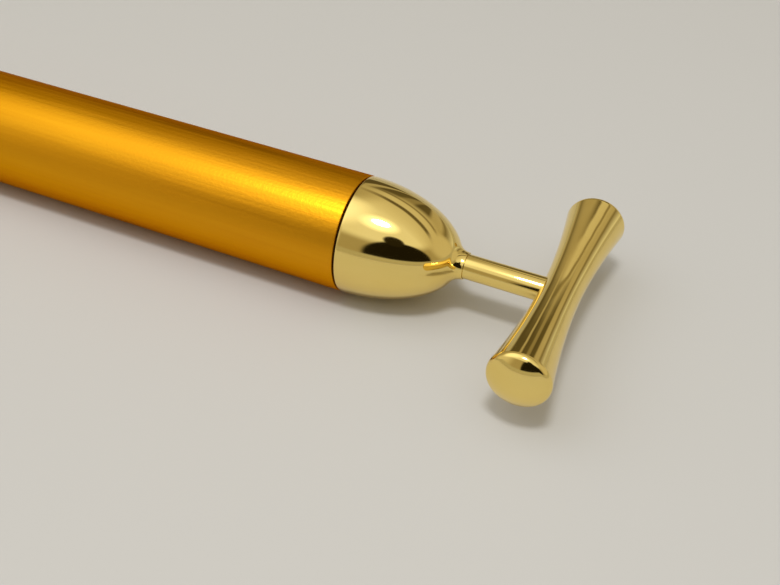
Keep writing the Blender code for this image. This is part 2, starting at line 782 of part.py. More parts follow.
def make_motor_case():
    """Steel can with a nose boss, its moulded end bell and the two bronze bushes."""
    bush_seat = bush_radius + PRESS_GAP
    boss_radius = bush_seat + NOSE_BOSS_WALL
    can_profile = [
        (bush_seat, nose_boss_top),
        (boss_radius, nose_boss_top),
        (boss_radius, motor_front),
        (motor_radius - MOTOR_EDGE, motor_front),
        (motor_radius, motor_front - MOTOR_EDGE),
        (motor_radius, motor_rear),
        (motor_bore_radius, motor_rear),
        (motor_bore_radius, motor_inner_front),
        (bush_seat, motor_inner_front),
    ]
    can = turned("motor_can", can_profile, "motor_steel", BODY_STEPS)
    place(can, head_frame, turn=body_half_step)

    flange_top = motor_rear - PRESS_GAP
    flange_foot = flange_top - END_BELL_FLANGE
    bell_profile = [
        (bush_seat, end_bell_face),
        (motor_bore_radius - PRESS_GAP, end_bell_face),
        (motor_bore_radius - PRESS_GAP, flange_top),
        (motor_radius - PRESS_GAP, flange_top),
        (motor_radius - PRESS_GAP, flange_foot),
        (bush_seat, flange_foot),
    ]
    bell = turned("motor_end_bell", bell_profile, "white_nylon", BODY_STEPS)
    place(bell, head_frame, turn=body_half_step)

    for name, low, high in (
            ("front_bush", motor_inner_front - BUSH_TAIL, nose_boss_top),
            ("rear_bush", flange_foot, flange_foot + REAR_BUSH_LENGTH)):
        section = ring_profile(shaft_bore_radius, bush_radius, low, high)
        place(turned(name, section, "bronze", PIN_STEPS), head_frame)


def arc_band(inner, outer, span, points):
    """Closed outline of a piece of ring about +X."""
    band = arc((0, 0), outer, -span / 2, span / 2, points)
    band += arc((0, 0), inner, span / 2, -span / 2, points)
    return band


def make_magnets():
    """Two curved ferrite magnets inside the can."""
    band = arc_band(magnet_inner_radius, magnet_outer_radius, MAGNET_SPAN, ARC_POINTS)
    centre = motor_front - MAGNET_FRONT_CLEARANCE - magnet_length / 2
    for name, turn in (("magnet_left", pi / 2), ("magnet_right", -pi / 2)):
        magnet = plate(name, [band], magnet_length, "ferrite")
        place(magnet, head_frame, height=centre, turn=turn)


def make_brushes():
    """Two spring-metal brushes on the end bell, each with its solder terminal."""
    foot_low = end_bell_face + PRESS_GAP
    centre = commutator_centre
    root = motor_bore_radius - BRUSH_ROOT_INSET
    leaf = [
        (-BRUSH_TIP, centre - BRUSH_WIDTH / 2),
        (root - BRUSH_FOOT_WIDTH, centre - BRUSH_WIDTH / 2),
        (root - BRUSH_FOOT_WIDTH, foot_low),
        (root, foot_low),
        (root, centre + BRUSH_WIDTH / 2),
        (-BRUSH_TIP, centre + BRUSH_WIDTH / 2),
    ]
    tab_top = motor_rear - END_BELL_FLANGE - 2 * PRESS_GAP
    half_width = TERMINAL_WIDTH / 2
    tip = tab_top - TERMINAL_LENGTH + half_width
    tab = [(half_width, tab_top), (-half_width, tab_top)]
    tab += arc((0, tip), half_width, pi, tau)
    hole = [(x, tip + y) for x, y in circle(TERMINAL_HOLE_RADIUS, PIN_STEPS // 2)]
    reach = commutator_radius + BRUSH_GAP + BRUSH_THICKNESS / 2
    for side, turn in (("left", 0), ("right", pi)):
        brush = plate("brush_" + side, [leaf], BRUSH_THICKNESS, "brass")
        stand_up(brush, reach, turn)
        terminal = plate("terminal_" + side, [tab, hole], TERMINAL_THICKNESS, "brass")
        stand_up(terminal, motor_bore_radius - TERMINAL_INSET, turn)


def stand_up(piece, radius, turn):
    """Stand a flat piece up beside the axis, its face towards it."""
    place(piece, head_frame)
    piece.rotation_euler = (pi / 2, 0, pi / 2 + turn)
    piece.location.x = radius * cos(turn)
    piece.location.y = radius * sin(turn)


def make_leads():
    """Two short insulated wires: plus down to the button, minus across to the strip."""
    solder_top = tab_foot + TERMINAL_WIDTH
    terminal_face = motor_bore_radius - TERMINAL_INSET + TERMINAL_THICKNESS / 2
    side = terminal_face + LEAD_RADIUS + SLOT_MARGIN

    flange_top = cup_floor_top + PRESS_GAP + BUTTON_FLANGE_HEIGHT
    floor = flange_top + LEAD_RADIUS + SLOT_MARGIN
    bend_centre = (side - LEAD_BEND_RADIUS, floor + LEAD_BEND_RADIUS)
    red = [(side, solder_top)]
    red += arc(bend_centre, LEAD_BEND_RADIUS, 0, -pi / 2)
    red.append((-BUTTON_SHANK_RADIUS, floor))
    add_lead("lead_red", red, "red_insulation")

    reach = strip_inner_radius - LEAD_RADIUS - SLOT_MARGIN
    sway_top = tab_foot + TERMINAL_WIDTH / 2
    black = [(-side, solder_top)]
    for i in range(LEAD_SWAY_POINTS + 1):
        share = i / LEAD_SWAY_POINTS
        sway = (1 - cos(pi * share)) / 2
        black.append((-side - (reach - side) * sway, sway_top + (strip_tail - sway_top) * share))
    add_lead("lead_black", black, "black_insulation")


def add_lead(name, route, finish):
    """A lead along a route of (across, height) points in the head's XZ plane."""
    points = [(across, 0, height) for across, height in route]
    place(wire(name, points, LEAD_RADIUS, finish), head_frame)


def core_outline():
    """Outline of the laminated armature: a hub with three T-shaped poles."""
    shoe_inner = shoe_inner_radius
    half_neck = POLE_NECK_WIDTH / 2
    half_shoe = POLE_SHOE_SPAN / 2
    hub_angle = asin(half_neck / core_hub_radius)
    neck_angle = asin(half_neck / shoe_inner)
    outline = []
    for k in range(POLE_COUNT):
        middle = tau * k / POLE_COUNT
        next_middle = middle + tau / POLE_COUNT
        outline += arc((0, 0), core_hub_radius, middle - hub_angle, middle - hub_angle, 2)[:1]
        outline += arc((0, 0), shoe_inner, middle - neck_angle, middle - half_shoe, 3)
        outline += arc((0, 0), core_radius, middle - half_shoe, middle + half_shoe, 9)
        outline += arc((0, 0), shoe_inner, middle + half_shoe, middle + neck_angle, 3)
        outline += arc((0, 0), core_hub_radius, middle + hub_angle, next_middle - hub_angle, 4)[:-1]
    return outline


def rounded_box(half_x, half_y, radius):
    """Closed outline of a box with round corners."""
    outline = []
    for k, (side_x, side_y) in enumerate(((1, 1), (-1, 1), (-1, -1), (1, -1))):
        corner = (side_x * (half_x - radius), side_y * (half_y - radius))
        outline += arc(corner, radius, pi / 2 * k, pi / 2 * (k + 1), 4)
    return outline


def make_armature():
    """Three-pole armature: laminated core, its windings, the shaft and two washers."""
    core_centre = core_top - core_length / 2
    hole = circle(shaft_seat_radius)
    core = plate("armature_core", [core_outline(), hole], core_length, "core_steel")
    place(core, rotor_frame, height=core_centre)

    inner_x = POLE_NECK_WIDTH / 2 + WINDING_GAP
    inner_y = core_length / 2 + WINDING_GAP
    outer = rounded_box(inner_x + WINDING_WIDTH, inner_y + WINDING_WIDTH, WINDING_WIDTH)
    inner = rounded_box(inner_x, inner_y, WINDING_GAP)
    radius = winding_inner_radius + winding_height / 2
    for k in range(POLE_COUNT):
        turn = tau * k / POLE_COUNT
        winding = plate("winding_" + str(k + 1), [outer, inner], winding_height, "copper_wire")
        place(winding, rotor_frame, height=core_centre)
        winding.rotation_euler = (pi / 2, 0, pi / 2 + turn)
        winding.location.x = radius * cos(turn)
        winding.location.y = radius * sin(turn)

    shaft_foot = motor_rear - END_BELL_FLANGE + SHAFT_TAIL
    shaft_profile = [(0, shaft_top), (SHAFT_RADIUS, shaft_top), (SHAFT_RADIUS, shaft_foot),
                     (0, shaft_foot)]
    shaft = turned("motor_shaft", shaft_profile, "spring_steel", PIN_STEPS, closed=False)
    place(shaft, rotor_frame)

    front_bush_foot = motor_inner_front - BUSH_TAIL
    rear_bush_top = motor_rear - PRESS_GAP - END_BELL_FLANGE + REAR_BUSH_LENGTH
    front_low = front_bush_foot - RUNNING_GAP - WASHER_THICKNESS
    rear_low = rear_bush_top + RUNNING_GAP
    for name, low in (("thrust_washer_front", front_low), ("thrust_washer_rear", rear_low)):
        section = ring_profile(shaft_seat_radius, shaft_seat_radius + WASHER_WIDTH,
                               low, low + WASHER_THICKNESS)
        place(turned(name, section, "white_nylon", PIN_STEPS), rotor_frame)


def make_commutator():
    """Phenolic hub with three copper segments."""
    hub_profile = ring_profile(shaft_seat_radius, commutator_hub_radius,
                               commutator_centre - COMMUTATOR_LENGTH / 2,
                               commutator_centre + COMMUTATOR_LENGTH / 2)
    place(turned("commutator_hub", hub_profile, "phenolic", PIN_STEPS), rotor_frame)
    band = arc_band(commutator_hub_radius + PRESS_GAP, commutator_radius, SEGMENT_SPAN, ARC_POINTS)
    for k in range(POLE_COUNT):
        segment = plate("commutator_segment_" + str(k + 1), [band], COMMUTATOR_LENGTH, "copper_wire")
        turn = tau * (k + 0.5) / POLE_COUNT
        place(segment, rotor_frame, height=commutator_centre, turn=turn)


def make_eccentric_weight():
    """Half-round weight on the shaft's front end, hanging down at rest."""
    outline = arc((0, 0), weight_radius, -WEIGHT_HALF_SPAN, WEIGHT_HALF_SPAN, 2 * ARC_POINTS)
    hub_radius = shaft_seat_radius + WEIGHT_HUB_WALL
    outline += arc((0, 0), hub_radius, pi / 2, 3 * pi / 2)
    hole = circle(shaft_seat_radius)
    weight = plate("eccentric_weight", [outline, hole], WEIGHT_LENGTH, "brass")
    place(weight, rotor_frame, height=weight_foot + WEIGHT_LENGTH / 2)


clear_scene()
parts = new_collection("t_bar_facial_massager")
cutters = new_collection("cutters")

laid_down = empty("laid_down")
laid_down.rotation_euler.y = pi / 2
laid_down.location = (-total_length / 2, 0, handle_radius * cos(body_half_step))

handle_frame = empty("handle_frame", laid_down)
cell_frame = empty("cell_frame", handle_frame, cell_foot)
head_frame = empty("head_frame", cell_frame, dome_face - cell_foot)
rotor_frame = empty("rotor_frame", head_frame)

strip_slot = box_cutter(
    "strip_slot_cutter",
    (-strip_inner_radius - STRIP_THICKNESS - SLOT_MARGIN, -STRIP_WIDTH / 2 - SLOT_MARGIN,
     strip_tail - CUT_OVERRUN),
    (-motor_radius + CUT_OVERRUN, STRIP_WIDTH / 2 + SLOT_MARGIN, PLUG_SHOULDER_HEIGHT + SLOT_MARGIN),
    head_frame)

make_handle_tube()
make_tail_cap()
make_tail_spring()
make_cell()
make_head_dome()
make_neck_stem()
make_t_bar()
make_thread_plug()
make_head_o_ring()
make_contact_ring()
make_contact_strip()
make_motor_cup()
make_contact_button()
make_motor_case()
make_magnets()
make_brushes()
make_leads()
make_armature()
make_commutator()
make_eccentric_weight()
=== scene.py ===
"""Looks of a T-bar facial massager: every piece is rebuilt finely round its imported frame.

The massager lies on the floor with its axis along X and its head towards +X. All sizes are in
metres. Turned pieces are outlines of (along, radius) points, spun about the massager's axis.
"""

import json
from math import acos, asin, atan2, cos, pi, radians, sin, sqrt, tau

import bmesh
import bpy
from bpy.props import FloatProperty, FloatVectorProperty, IntProperty, PointerProperty
from mathutils import Matrix, Vector


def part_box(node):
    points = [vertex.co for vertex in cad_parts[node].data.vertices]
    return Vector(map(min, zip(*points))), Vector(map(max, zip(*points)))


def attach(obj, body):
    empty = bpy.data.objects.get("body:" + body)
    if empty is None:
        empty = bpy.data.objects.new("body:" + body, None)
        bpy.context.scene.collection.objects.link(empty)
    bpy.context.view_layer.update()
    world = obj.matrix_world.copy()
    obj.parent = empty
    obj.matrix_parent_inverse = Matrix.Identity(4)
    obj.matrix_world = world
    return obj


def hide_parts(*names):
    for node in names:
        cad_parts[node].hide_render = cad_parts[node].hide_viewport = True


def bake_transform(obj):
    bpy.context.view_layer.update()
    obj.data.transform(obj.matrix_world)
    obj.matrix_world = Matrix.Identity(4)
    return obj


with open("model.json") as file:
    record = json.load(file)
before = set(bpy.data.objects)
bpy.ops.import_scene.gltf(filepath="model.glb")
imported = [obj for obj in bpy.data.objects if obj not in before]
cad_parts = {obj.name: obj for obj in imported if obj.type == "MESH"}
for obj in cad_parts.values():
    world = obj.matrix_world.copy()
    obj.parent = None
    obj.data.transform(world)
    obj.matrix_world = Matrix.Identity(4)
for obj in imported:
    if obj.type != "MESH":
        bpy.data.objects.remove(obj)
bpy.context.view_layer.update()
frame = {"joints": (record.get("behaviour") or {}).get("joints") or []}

bl_info = {
    "name": "T-bar Facial Massager",
    "version": (1, 0, 0),
    "blender": (4, 5, 0),
    "location": "View3D > Sidebar > Massager",
    "description": "Builds the pieces, finishes and studio of a T-bar facial massager",
    "category": "Object",
}


def joint(name):
    """The record's joint of that name."""
    return next(entry for entry in frame["joints"] if entry["name"] == name)


def span(node):
    """Where a node starts and ends along the massager's axis."""
    low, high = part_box(node)
    return low.x, high.x


def reach(node):
    """How far a round node reaches from the massager's axis."""
    low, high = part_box(node)
    return (high.y - low.y) / 2


# Places that the frame gives
TUBE_START, TUBE_MOUTH = span("handle_tube")
TAIL_END, TAIL_STUB_END = span("tail_cap")
HEAD_FACE = joint("head_twist")["pos_m"][0]
AXIS_HEIGHT = joint("head_twist")["pos_m"][2]
BAR_PLACE = (span("t_bar")[0] + span("t_bar")[1]) / 2
AXIS = Matrix.Translation((0, 0, AXIS_HEIGHT))
ACROSS = AXIS @ Matrix.Rotation(pi / 2, 4, "Y")

# Steps round each kind of piece, and limits for merging and smoothing
BODY_STEPS = 192
BAR_STEPS = 128
INNER_STEPS = 96
PIN_STEPS = 48
SECTION_STEPS = 20
THREAD_STEPS = 64
RUN_OUT_TURNS = 0.25
EDGE_SEGMENTS = 3
FINE_SEGMENTS = 2
WIRE_RESOLUTION = 4
LEAD_RESOLUTION = 6
SHOE_END_STEPS = 5
MERGE_DISTANCE = 0.000002
SMOOTH_ANGLE = radians(35)

# Gaps between neighbours
PRESS_GAP = 0.00005
RUNNING_GAP = 0.00008


def srgb(code):
    """A hex colour as Blender's linear values."""
    channels = [int(code[i:i + 2], 16) / 255 for i in (1, 3, 5)]
    return tuple(c / 12.92 if c <= 0.04045 else ((c + 0.055) / 1.055) ** 2.4 for c in channels)


def length_size(name, default, description):
    """A length that the panel shows."""
    return FloatProperty(name=name, description=description, default=default, min=0,
                         unit="LENGTH", precision=5)


def surface_colour(name, code, description):
    """A colour that the panel shows."""
    return FloatVectorProperty(name=name, description=description, default=srgb(code),
                               subtype="COLOR", size=3, min=0, max=1)


class MassagerHandle(bpy.types.PropertyGroup):
    """Sizes of the handle and its tail."""

    radius: length_size("Radius", AXIS_HEIGHT, "Outer radius of the handle")
    wall: length_size("Wall", 0.001, "Thickness of the tube")
    edge: length_size("Edge", 0.00012, "Rounding of the tube's ends")
    seat_step: length_size("Seat step", 0.0003, "How much wider the threaded mouth is bored")
    seat_depth: length_size("Seat depth", 0.0099, "Depth of the threaded mouth")
    tail_length: length_size("Tail length", 0.0095, "How far the tail cap stands out")
    tail_rounding: length_size("Tail rounding", 0.0055, "Length of the tail's rounded end")
    tail_face: length_size("Tail face", 0.003, "Radius of the flat on the tail's end")


class MassagerThread(bpy.types.PropertyGroup):
    """Sizes of the screw thread between handle and head."""

    pitch: length_size("Pitch", 0.001, "Travel of the head in one turn")
    height: length_size("Height", 0.00042, "How far a thread stands from its root")
    base: length_size("Base", 0.00085, "Width of a thread at its root")
    crest: length_size("Crest", 0.00015, "Width of a thread at its top")
    root: length_size("Root", 0.0072, "Radius of the sleeve at the foot of its thread")


class MassagerHead(bpy.types.PropertyGroup):
    """Sizes of the polished head."""

    dome_length: length_size("Dome length", 0.0153, "Length of the bell's ellipse")
    rear_edge: length_size("Rear edge", 0.00012, "Rounding of the dome's rear edge")
    blend_radius: length_size("Blend radius", 0.0029, "Radius at which the bell runs into its nose")
    nose_lip: length_size("Nose lip", 0.0002, "How far the nose stands round the stem")
    stem_radius: length_size("Stem radius", 0.00175, "Radius of the neck stem")
    bar_length: length_size("Bar length", 0.0388, "Length of the cross bar")
    bar_radius: length_size("Bar radius", 0.00425, "Radius of the cross bar's widest rings")
    cap_height: length_size("Cap height", 0.0021, "How far a cap stands out beyond its crease")
    cap_edge: length_size("Cap edge", 0.0011, "Rounding where a cap's face turns to its crease")
    crease_edge: length_size("Crease edge", 0.00012, "Rounding of the crease itself")
    waist_radius: length_size("Waist radius", 0.00275, "Radius of the cross bar's waist")
    waist_power: FloatProperty(name="Waist power", default=1.8, min=1, max=4,
                               description="How late the cross bar flares towards its ends")


class MassagerMotor(bpy.types.PropertyGroup):
    """Sizes of the vibrating motor."""

    lamination_count: IntProperty(name="Laminations", default=20, min=2, max=40,
                                  description="Sheets in the armature's core")
    lamination_gap: length_size("Lamination gap", 0.00004, "Gap that shows between two sheets")
    wire_radius: length_size("Wire radius", 0.0001, "Radius of the winding's wire")
    winding_turns: IntProperty(name="Turns", default=6, min=2, max=12,
                               description="Turns of wire that show on each pole")
    edge: length_size("Edge", 0.0003, "Rounding of the steel can's front edge")


class MassagerFinish(bpy.types.PropertyGroup):
    """Colours of the finishes that show."""

    anodised: surface_colour("Anodised", "#E8A61B", "Dye of the satin handle")
    anodised_deep: surface_colour("Anodised deep", "#DE961A", "Dye where it took more deeply")
    gold: surface_colour("Gold", "#F7DD88", "Polished gold plating")
    gold_worn: surface_colour("Gold worn", "#EFD178", "Gold plating where it is handled")
    jacket: surface_colour("Jacket", "#2A3138", "Film round the cell")
    jacket_band: surface_colour("Jacket band", "#B9BEC2", "Band of the film at the plus end")
    floor: surface_colour("Floor", "#C9C8C5", "Floor of the studio")
    backdrop: surface_colour("Backdrop", "#B6B2A6", "Low pale backdrop round the floor")


class MassagerStudio(bpy.types.PropertyGroup):
    """Camera and lights."""

    eye: FloatVectorProperty(name="Eye", default=(0.09316, -0.10392, 0.09649), subtype="XYZ",
                             unit="LENGTH", size=3, description="Where the camera stands")
    aim: FloatVectorProperty(name="Aim", default=(0.054257, -0.009813, 0.008623), subtype="XYZ",
                             unit="LENGTH", size=3, description="Point that the camera looks at")
    roll: FloatProperty(name="Roll", default=radians(2.42), subtype="ANGLE",
                        description="How far the camera leans")
    lens: FloatProperty(name="Lens", default=46.98, min=10, max=200, unit="CAMERA",
                        description="Focal length in millimetres on a 36 mm sensor")
    window_power: FloatProperty(name="Window power", default=1.25, min=0, unit="POWER",
                                description="Power of the soft window overhead")
    front: FloatProperty(name="Front", default=0.4, min=0, max=2,
                         description="Brightness of the wall behind the camera")
    ceiling: FloatProperty(name="Ceiling", default=0.88, min=0, max=2,
                           description="Brightness of the ceiling's panels")
    walls: FloatProperty(name="Walls", default=1.0, min=0, max=2,
                         description="Brightness of the walls")


def add_node(tree, kind, settings=None, links=None):
    """Add a node: settings name its inputs or attributes, links name inputs and give outputs."""
    node = tree.nodes.new(kind)
    for key, value in (settings or {}).items():
        if isinstance(key, int) or key in node.inputs:
            node.inputs[key].default_value = value
        else:
            setattr(node, key, value)
    for key, source in (links or {}).items():
        tree.links.new(source, node.inputs[key])
    return node


def new_material(name, **uniform):
    """A material with a Principled shader, whose uniform values are set on its own sockets."""
    made = bpy.data.materials.new(name)
    made.use_nodes = True
    shader = made.node_tree.nodes["Principled BSDF"]
    for key, value in uniform.items():
        shader.inputs[key.replace("_", " ").title()].default_value = value
    return made, made.node_tree, shader


def surface_grain(tree, size, stretch=(1, 1, 1), detail=3.0):
    """Noise whose blots are about as wide as size, drawn out along the axes that stretch names."""
    place = add_node(tree, "ShaderNodeTexCoord")
    mapping = add_node(tree, "ShaderNodeMapping", {"Scale": [1 / s for s in stretch]},
                       {"Vector": place.outputs["Object"]})
    noise = add_node(tree, "ShaderNodeTexNoise", {"Scale": 1 / size, "Detail": detail},
                     {"Vector": mapping.outputs["Vector"]})
    return noise.outputs["Fac"]


def colour_between(tree, first, second, share):
    """A colour that runs from the first to the second as the share rises."""
    mix = add_node(tree, "ShaderNodeMix", {"data_type": "RGBA", 6: (*first, 1), 7: (*second, 1)},
                   {0: share})
    return mix.outputs[2]


def relief(tree, height, depth, below=None):
    """A normal for a surface whose height varies by depth."""
    links = {"Height": height}
    if below:
        links["Normal"] = below
    bump = add_node(tree, "ShaderNodeBump", {"Strength": 1.0, "Distance": depth}, links)
    return bump.outputs["Normal"]


def run_between(tree, value, low, high, start=0.0, full=1.0):
    """A number that runs from low to high as the value runs from start to full."""
    share = add_node(tree, "ShaderNodeMapRange",
                     {"From Min": start, "From Max": full, "To Min": low, "To Max": high},
                     {"Value": value})
    return share.outputs["Result"]


def finish_with(tree, shader, colour, roughness, normal):
    """Link what varies over the surface to the shader."""
    for key, source in (("Base Color", colour), ("Roughness", roughness), ("Normal", normal)):
        tree.links.new(source, shader.inputs[key])


def anodised_aluminium(name):
    """Aluminium tube, finely brushed, dyed orange-gold and sealed.

    The dye lies in a clear oxide, so the metal below gives a broad satin highlight in the dye's
    own colour. Light that comes at a slant crosses more dye, so the tube's edges look deeper.
    Brushing along the tube leaves faint streaks with a blasted grain between them. Both are
    about a tenth of a millimetre wide, and drawn five times as coarse here so that they show.
    """
    finish = bpy.context.scene.massager_finish
    made, tree, shader = new_material(name, metallic=1.0, roughness=0.4,
                                      specular_tint=(0.5, 0.25, 0.08, 1))
    clouds = surface_grain(tree, size=0.012, stretch=(3, 1, 1))
    streaks = surface_grain(tree, size=0.0005, stretch=(50, 1, 1), detail=2.0)
    grain = surface_grain(tree, size=0.0005)
    colour = colour_between(tree, finish.anodised, finish.anodised_deep, clouds)
    gloss = run_between(tree, streaks, low=0.32, high=0.48, start=0.3, full=0.7)
    brushed = relief(tree, streaks, depth=0.000016)
    finish_with(tree, shader, colour, gloss, relief(tree, grain, depth=0.00002, below=brushed))
    return made


def polished_gold(name):
    """Brass, buffed and plated with pale gold.

    A mirror with hardly any haze. Handling leaves soft smears a few millimetres wide, which
    dull it a little, and the buffing leaves the surface just uneven enough to bend reflections.
    """
    finish = bpy.context.scene.massager_finish
    made, tree, shader = new_material(name, metallic=1.0, roughness=0.06)
    smears = surface_grain(tree, size=0.0035, stretch=(2, 1, 1))
    swell = surface_grain(tree, size=0.0028, detail=0.0)
    colour = colour_between(tree, finish.gold, finish.gold_worn, smears)
    gloss = run_between(tree, smears, low=0.04, high=0.11, start=0.35, full=0.75)
    finish_with(tree, shader, colour, gloss, relief(tree, swell, depth=0.000012))
    return made


def cell_film(name):
    """Heat-shrunk PVC film round the cell: a glossy dark body with a pale band at the plus end."""
    finish = bpy.context.scene.massager_finish
    made, tree, shader = new_material(name, roughness=0.28)
    place = add_node(tree, "ShaderNodeTexCoord")
    along = add_node(tree, "ShaderNodeSeparateXYZ", links={0: place.outputs["Object"]})
    band_start = span("battery_jacket")[1] - JACKET_BAND
    band = add_node(tree, "ShaderNodeMath", {"operation": "GREATER_THAN", 1: band_start},
                    {0: along.outputs["X"]})
    wrinkles = surface_grain(tree, size=0.002, stretch=(0.5, 2, 2))
    gloss = run_between(tree, wrinkles, low=0.2, high=0.36)
    colour = colour_between(tree, finish.jacket, finish.jacket_band, band.outputs["Value"])
    finish_with(tree, shader, colour, gloss, relief(tree, wrinkles, depth=0.00001))
    return made


# Plain finishes: two hex colours, metallic, roughness from and to, width of the pattern, how
# far it is drawn out along X, Y and Z, and the depth of its relief. The blots of the second
# colour are BLOT_WIDTH times as wide as the pattern
BLOT_WIDTH = 8
PLAIN_FINISHES = {
    # Drawn spring wire, nickel plated: fine lines along the wire, greyish white
    "nickel_plated_spring_steel": ("#D6D4CC", "#BEBCB4", 1.0, 0.18, 0.32, 0.0002, (1, 1, 1),
                                   0.000002),
    # Satin nickel on deep-drawn steel: cool grey with soft drawing marks along the cell
    "nickel_plated_can": ("#D9D8D3", "#C8C7C1", 1.0, 0.2, 0.34, 0.0003, (12, 1, 1), 0.000002),
    # Pressed manganese powder: dull, black and granular
    "pressed_powder": ("#1E1C1B", "#343130", 0.0, 0.85, 0.98, 0.0004, (1, 1, 1), 0.00004),
    # Moulded polyamide: milky white with a waxy gloss
    "moulded_nylon": ("#E9E6DA", "#DDD9CB", 0.0, 0.36, 0.5, 0.0008, (1, 1, 1), 0.000006),
    # Moulded ABS with a fine spark-eroded grain
    "moulded_black_abs": ("#191A1B", "#222324", 0.0, 0.38, 0.55, 0.00025, (1, 1, 1), 0.000008),
    # Nitrile rubber: matte with a faint bloom
    "nitrile_rubber": ("#131313", "#1E1E1D", 0.0, 0.62, 0.8, 0.0005, (1, 1, 1), 0.000006),
    # Rolled brass strip: yellow with rolling lines
    "rolled_brass": ("#DDBB69", "#C9A351", 1.0, 0.16, 0.32, 0.0002, (20, 1, 1), 0.000002),
    # Sintered tungsten brass: pale, a little porous
    "sintered_brass": ("#CDB683", "#B39B69", 1.0, 0.34, 0.5, 0.00018, (1, 1, 1), 0.000012),
    # Zinc-plated drawn steel: bluish grey with drawing lines along the can
    "zinc_plated_steel": ("#C3C6C9", "#A9ADB1", 1.0, 0.22, 0.38, 0.0003, (16, 1, 1), 0.000003),
    # Sintered ferrite: charcoal grey, ground, with open pores
    "sintered_ferrite": ("#3A3B3D", "#2B2C2E", 0.0, 0.6, 0.78, 0.0003, (1, 1, 1), 0.00002),
    # Silicon steel sheet, blued by annealing
    "blued_core_steel": ("#7C8088", "#5E636C", 1.0, 0.32, 0.48, 0.0006, (1, 1, 1), 0.000004),
    # Copper wire under clear enamel: red-brown and glossy
    "enamelled_copper": ("#C8693A", "#A9502A", 1.0, 0.16, 0.28, 0.0005, (1, 1, 1), 0.000003),
    # Copper strands dipped in tin: soft silver grey
    "tinned_copper": ("#C9C8C4", "#B4B2AC", 1.0, 0.24, 0.38, 0.0002, (1, 1, 1), 0.000003),
    # Bare copper, turned: pink-orange with fine turning lines round it
    "turned_copper": ("#DB8F64", "#C87A50", 1.0, 0.18, 0.3, 0.00008, (1, 12, 12), 0.000002),
    # Oil-filled sintered bronze: brown and slightly porous
    "sintered_bronze": ("#9A7444", "#7E5C33", 1.0, 0.42, 0.58, 0.00015, (1, 1, 1), 0.000012),
    # Ground steel shaft: bright with grinding lines round it
    "ground_steel": ("#CFD0D1", "#BBBCBE", 1.0, 0.1, 0.2, 0.00006, (1, 20, 20), 0.000001),
    # PVC insulation, red: extruded, faintly uneven along the wire
    "red_pvc": ("#C02A22", "#A8211A", 0.0, 0.36, 0.5, 0.0012, (3, 1, 1), 0.00001),
    # PVC insulation, black
    "black_pvc": ("#17181A", "#202124", 0.0, 0.36, 0.5, 0.0012, (3, 1, 1), 0.00001),
    # Phenolic moulding: dark brown with a mottled filler
    "phenolic_moulding": ("#5A3620", "#442615", 0.0, 0.4, 0.56, 0.0003, (1, 1, 1), 0.000008),
}


def plain_finish(name):
    """A finish from the table, mottled between its two colours and two roughnesses."""
    first, second, metallic, fine, dull, size, stretch, depth = PLAIN_FINISHES[name]
    made, tree, shader = new_material(name, metallic=metallic)
    grain = surface_grain(tree, size, stretch)
    blots = surface_grain(tree, BLOT_WIDTH * size)
    colour = colour_between(tree, srgb(first), srgb(second), blots)
    gloss = run_between(tree, grain, fine, dull)
    finish_with(tree, shader, colour, gloss, relief(tree, grain, depth))
    return made


def look(recipe):
    """The material of a recipe or of a name in the table, made on first use."""
    name = recipe if isinstance(recipe, str) else recipe.__name__
    return bpy.data.materials.get(name) or (plain_finish if name == recipe else recipe)(name)


def arc(centre, radius, start, end, segments):
    """Points of an arc about a centre, both ends included."""
    return [
        (centre[0] + radius * cos(start + (end - start) * i / segments),
         centre[1] + radius * sin(start + (end - start) * i / segments))
        for i in range(segments + 1)
    ]


def circle(centre, radius, segments):
    """Points of a circle about a centre."""
    return arc(centre, radius, 0, tau, segments)[:-1]


def ring(inner, outer, start, end, edge):
    """Outline of a plain ring with its four edges rounded."""
    return [(start, inner, edge), (start, outer, edge), (end, outer, edge), (end, inner, edge)]


def turned(outline, steps, angle=tau):
    """Spin an outline about X. A third number in a point is the rounding of that corner.

    An outline that starts on the axis also ends there, and its ends aren't joined.
    """
    work = bmesh.new()
    points = [work.verts.new((point[0], 0, point[1])) for point in outline]
    pairs = list(zip(points, points[1:]))
    if outline[0][1] > 0:
        pairs.append((points[-1], points[0]))
    for pair in pairs:
        work.edges.new(pair)
    roundings = {}
    for vert, point in zip(points, outline):
        if len(point) > 2 and point[2]:
            roundings.setdefault(point[2], []).append(vert)
    for rounding, verts in roundings.items():
        bmesh.ops.bevel(work, geom=verts, offset=rounding, segments=EDGE_SEGMENTS, profile=0.5,
                        affect="VERTICES", material=-1)
    full = angle == tau
    bmesh.ops.spin(work, geom=work.verts[:] + work.edges[:], cent=(0, 0, 0), axis=(1, 0, 0),
                   dvec=(0, 0, 0), angle=angle, steps=steps, use_merge=full)
    if not full:
        close_ends(work)
    tidy(work)
    return work


def close_ends(work):
    """Fill the open sections of a piece that was spun part of the way round."""
    open_edges = [edge for edge in work.edges if edge.is_boundary]
    bmesh.ops.edgeloop_fill(work, edges=open_edges)


def tidy(work):
    """Merge seams and poles, then turn all the faces outwards."""
    bmesh.ops.remove_doubles(work, verts=work.verts, dist=MERGE_DISTANCE)
    bmesh.ops.recalc_face_normals(work, faces=work.faces)


